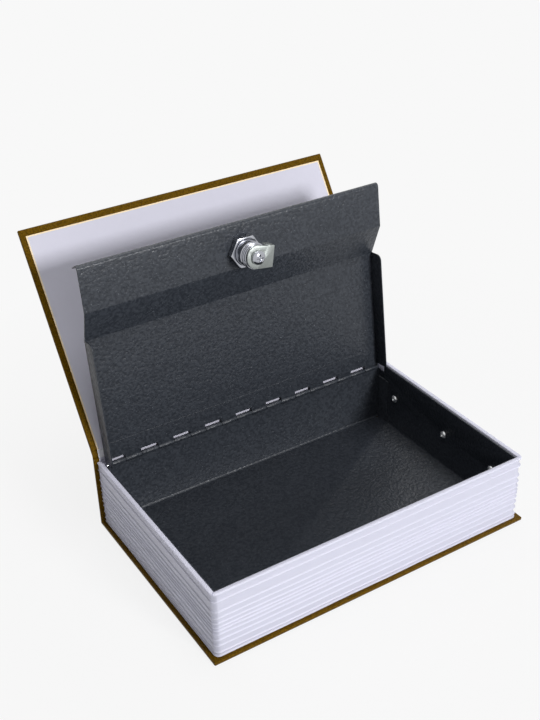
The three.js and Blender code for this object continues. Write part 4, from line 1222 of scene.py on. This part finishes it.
class BOOKSAFE_OT_lid(bpy.types.Operator):
    """Make the stepped lid with its flanges and hinge eyes"""
    bl_idname = "book_safe.lid"
    bl_label = "Lid"

    def execute(self, context):
        steel = settings("steel")
        place = lid_frame()
        self.make_sheet(steel, place)
        self.make_eyes(steel, place)
        return {"FINISHED"}

    def windows(self, steel):
        starts = [steel.window_start + i * steel.window_pitch for i in range(steel.window_count)]
        return [(start, start + steel.window_length) for start in starts]

    def half_width(self, steel, u):
        if u < steel.panel_length:
            return steel.panel_half
        if u < steel.slope_end:
            share = (u - steel.panel_length) / (steel.slope_end - steel.panel_length)
            return steel.panel_half + share * (steel.band_half - steel.panel_half)
        corner = max(0, u - (steel.lid_reach - steel.corner_radius))
        return steel.band_half - steel.corner_radius + math.sqrt(steel.corner_radius ** 2 - corner ** 2)

    def make_sheet(self, steel, place):
        middle = steel.sheet / 2
        lip = steel.lid_reach - middle
        band_level = steel.band_depth + middle
        bends = bent_line([
            (steel.window_reach, middle), (steel.panel_length, middle), (steel.slope_end, band_level),
            (lip, band_level), (lip - steel.lip_slant, band_level - steel.lip_rise),
        ], steel.bend_radius)
        line = [Vector((steel.lid_start, middle))]
        for before, after in zip([line[0], *bends], bends):
            gap = (after - before).length
            pieces = max(1, round(gap / (12 * MM)))
            if gap > 0:
                line += [before.lerp(after, k / pieces) for k in range(1, pieces + 1)]
        spans = self.windows(steel)
        edges = sorted([-steel.panel_half, *[x for span in spans for x in span], steel.panel_half])
        bm = bmesh.new()
        rows = []
        for point in line:
            stretch = self.half_width(steel, point.x) / steel.panel_half
            rows.append([bm.verts.new((x * stretch, point.x, point.y)) for x in edges])
        for j in range(len(rows) - 1):
            for i in range(len(edges) - 1):
                centre = (edges[i] + edges[i + 1]) / 2
                in_window = any(a < centre < b for a, b in spans)
                if j == 0 and in_window:
                    continue
                bm.faces.new((rows[j][i], rows[j][i + 1], rows[j + 1][i + 1], rows[j + 1][i]))
        lonely = [vertex for vertex in bm.verts if not vertex.link_faces]
        bmesh.ops.delete(bm, geom=lonely, context="VERTS")
        thicken = ("SOLIDIFY", {"thickness": steel.sheet, "offset": 0, "use_even_offset": True})
        solid = modified(mesh_from(bm), thicken)
        cutter = self.lock_hole()
        solid = modified(
            outward(solid),
            ("BOOLEAN", {"operation": "DIFFERENCE", "object": cutter, "solver": "EXACT"}),
            rounding(steel.edge_rounding, 2, 55),
        )
        bpy.data.objects.remove(cutter)
        bm = bmesh.new()
        bm.from_mesh(solid)
        for side in (-1, 1):
            self.flange(bm, steel, side)
        self.bead(bm, steel)
        bm.transform(place)
        piece("lid_sheet", mesh_from(bm), "lid", "painted_steel", ["lid_panel"])

    def lock_hole(self):
        lock = settings("lock")
        radius = lock.barrel_radius + 0.3 * MM
        start, length = 2 * MM, 20 * MM
        bm = lathe([(0, 0), (radius, 0), (radius, length), (0, length)], 40)
        bm.transform(Matrix.Translation((lock.place_x, lock.reach, start)))
        cutter = bpy.data.objects.new("cutter", mesh_from(bm))
        bpy.context.scene.collection.objects.link(cutter)
        return cutter

    def flange(self, target, steel, side):
        """A side flange: a plate on its edge, with a rounded corner by the slope."""
        radius = steel.flange_corner
        start, end, depth = steel.flange_start, steel.panel_length, steel.flange_depth
        outline = [(start, 0), (end, 0)]
        outline += [(end - radius + radius * math.cos(t), depth - radius + radius * math.sin(t))
                    for t in np.linspace(0, math.pi / 2, 9)]
        foot = 1 * MM
        outline += [(start + foot + foot * math.cos(t), depth - foot + foot * math.sin(t))
                    for t in np.linspace(math.pi / 2, math.pi, 5)]
        outer = side * steel.panel_half
        inner = side * (steel.panel_half - steel.sheet)
        mesh = modified(mesh_from(prism(outline, min(outer, inner), max(outer, inner))),
                        rounding(steel.edge_rounding, 2, 55))
        target.from_mesh(mesh)

    def bead(self, target, steel):
        """The faint crease that runs along the lid above its hinge."""
        radius = steel.bead_radius
        base = steel.sheet - 0.1 * MM
        section = [(steel.bead_place + radius * 1.6 * math.cos(t), base + radius * math.sin(t))
                   for t in np.linspace(0, math.pi, 7)]
        half = steel.panel_half - 6 * MM
        mesh = mesh_from(prism(section, -half, half))
        target.from_mesh(mesh)

    def make_eyes(self, steel, place):
        spans = self.windows(steel)
        length = steel.window_pitch - steel.window_length
        middles = [(end + length / 2, 0, 0) for _, end in spans]
        mesh = grown(eye_tree(), points_mesh(middles), "painted_steel", **{
            "Outer radius": steel.eye_radius, "Bore": steel.eye_bore, "Length": length,
            "Rounding": steel.edge_rounding,
        })
        mesh.transform(place)
        mesh = outward(mesh)
        soften(mesh)
        piece("lid_hinge_eyes", mesh, "lid", "painted_steel")


class BOOKSAFE_OT_lock(bpy.types.Operator):
    """Make the cam lock"""
    bl_idname = "book_safe.lock"
    bl_label = "Lock"

    def execute(self, context):
        lock = settings("lock")
        self.make_barrel(lock)
        for name, node, body, slot in (
            ("lock_hex_nut", "lock_nut", "lid", "lock_chrome"),
            ("cam_blade", "lock_cam", "lock_core", "lock_zinc"),
            ("cam_screw_head", "cam_screw", "lock_core", "lock_chrome"),
        ):
            piece(name, cad_copy(node, lock.rounding), body, slot, [node])
        dress("cam_washer", "lock_zinc")
        dress("lock_plug", "lock_zinc")
        for i in range(1, 6):
            dress(f"lock_wafer_{i}", "wafer_brass")
        return {"FINISHED"}

    def make_barrel(self, lock):
        back = -lock.seat
        face = back - lock.head_height
        chamfer = 1 * MM
        soft = 0.35 * MM
        floor = lock.barrel_reach - lock.barrel_floor
        outer = lock.barrel_radius
        relief = lock.thread_start - 0.7 * MM
        profile = [
            (lock.bore_radius, face), (lock.head_radius - chamfer, face), (lock.head_radius, face + chamfer),
            (lock.head_radius, back), (outer, back), (outer, relief), (lock.core_radius, relief + 0.4 * MM),
            (lock.core_radius, lock.barrel_reach - soft), (lock.core_radius - soft, lock.barrel_reach),
            (lock.neck_bore, lock.barrel_reach), (lock.neck_bore, floor), (lock.bore_radius, floor),
            (lock.bore_radius, face),
        ]
        bm = lathe(profile, 56)
        bmesh.ops.remove_doubles(bm, verts=bm.verts, dist=1e-7)
        length = lock.barrel_reach - lock.thread_start - 2 * lock.thread_ridge
        plain = mesh_from(bm)
        plain.transform(Matrix.Translation((0, 0, -lock.thread_start - lock.thread_ridge)))
        mesh = grown(thread_tree(), plain, "lock_chrome", **{
            "Radius": lock.core_radius, "Pitch": lock.thread_pitch,
            "Length": length, "Ridge": lock.thread_ridge,
        })
        mesh.transform(lock_frame() @ Matrix.Translation((0, 0, lock.thread_start + lock.thread_ridge)))
        soften(mesh)
        piece("lock_barrel_threaded", mesh, "lid", "lock_chrome", ["lock_barrel"])


class BOOKSAFE_PT_panel(bpy.types.Panel):
    """Lists the safe's pieces"""
    bl_idname = "BOOKSAFE_PT_panel"
    bl_label = "Book Safe"
    bl_space_type = "VIEW_3D"
    bl_region_type = "UI"
    bl_category = "Book Safe"

    def draw(self, context):
        for group, operators in STEPS:
            box = self.layout.box()
            for operator in operators:
                box.operator(operator.bl_idname)
            values = settings(group)
            for name in values.bl_rna.properties.keys():
                if name not in ("rna_type", "name"):
                    box.prop(values, name)


STEPS = (
    ("stage", (BOOKSAFE_OT_stage,)),
    ("cover", (BOOKSAFE_OT_case, BOOKSAFE_OT_front_cover)),
    ("pages", (BOOKSAFE_OT_pages,)),
    ("steel", (BOOKSAFE_OT_box, BOOKSAFE_OT_lid)),
    ("rivets", (BOOKSAFE_OT_rivets,)),
    ("lock", (BOOKSAFE_OT_lock,)),
)
GROUPS = {
    "stage": BookSafeStage, "cover": BookSafeCover, "pages": BookSafePages, "steel": BookSafeSteel,
    "rivets": BookSafeRivets, "lock": BookSafeLock,
}


def register():
    for group, holder in GROUPS.items():
        bpy.utils.register_class(holder)
        setattr(bpy.types.Scene, "book_safe_" + group, PointerProperty(type=holder))
    for _, operators in STEPS:
        for operator in operators:
            bpy.utils.register_class(operator)
    bpy.utils.register_class(BOOKSAFE_PT_panel)


def unregister():
    bpy.utils.unregister_class(BOOKSAFE_PT_panel)
    for _, operators in STEPS:
        for operator in operators:
            bpy.utils.unregister_class(operator)
    for group, holder in GROUPS.items():
        delattr(bpy.types.Scene, "book_safe_" + group)
        bpy.utils.unregister_class(holder)


def main():
    register()
    for _, operators in STEPS:
        for operator in operators:
            group, name = operator.bl_idname.split(".")
            getattr(getattr(bpy.ops, group), name)()


if __name__ == "__main__":
    main()
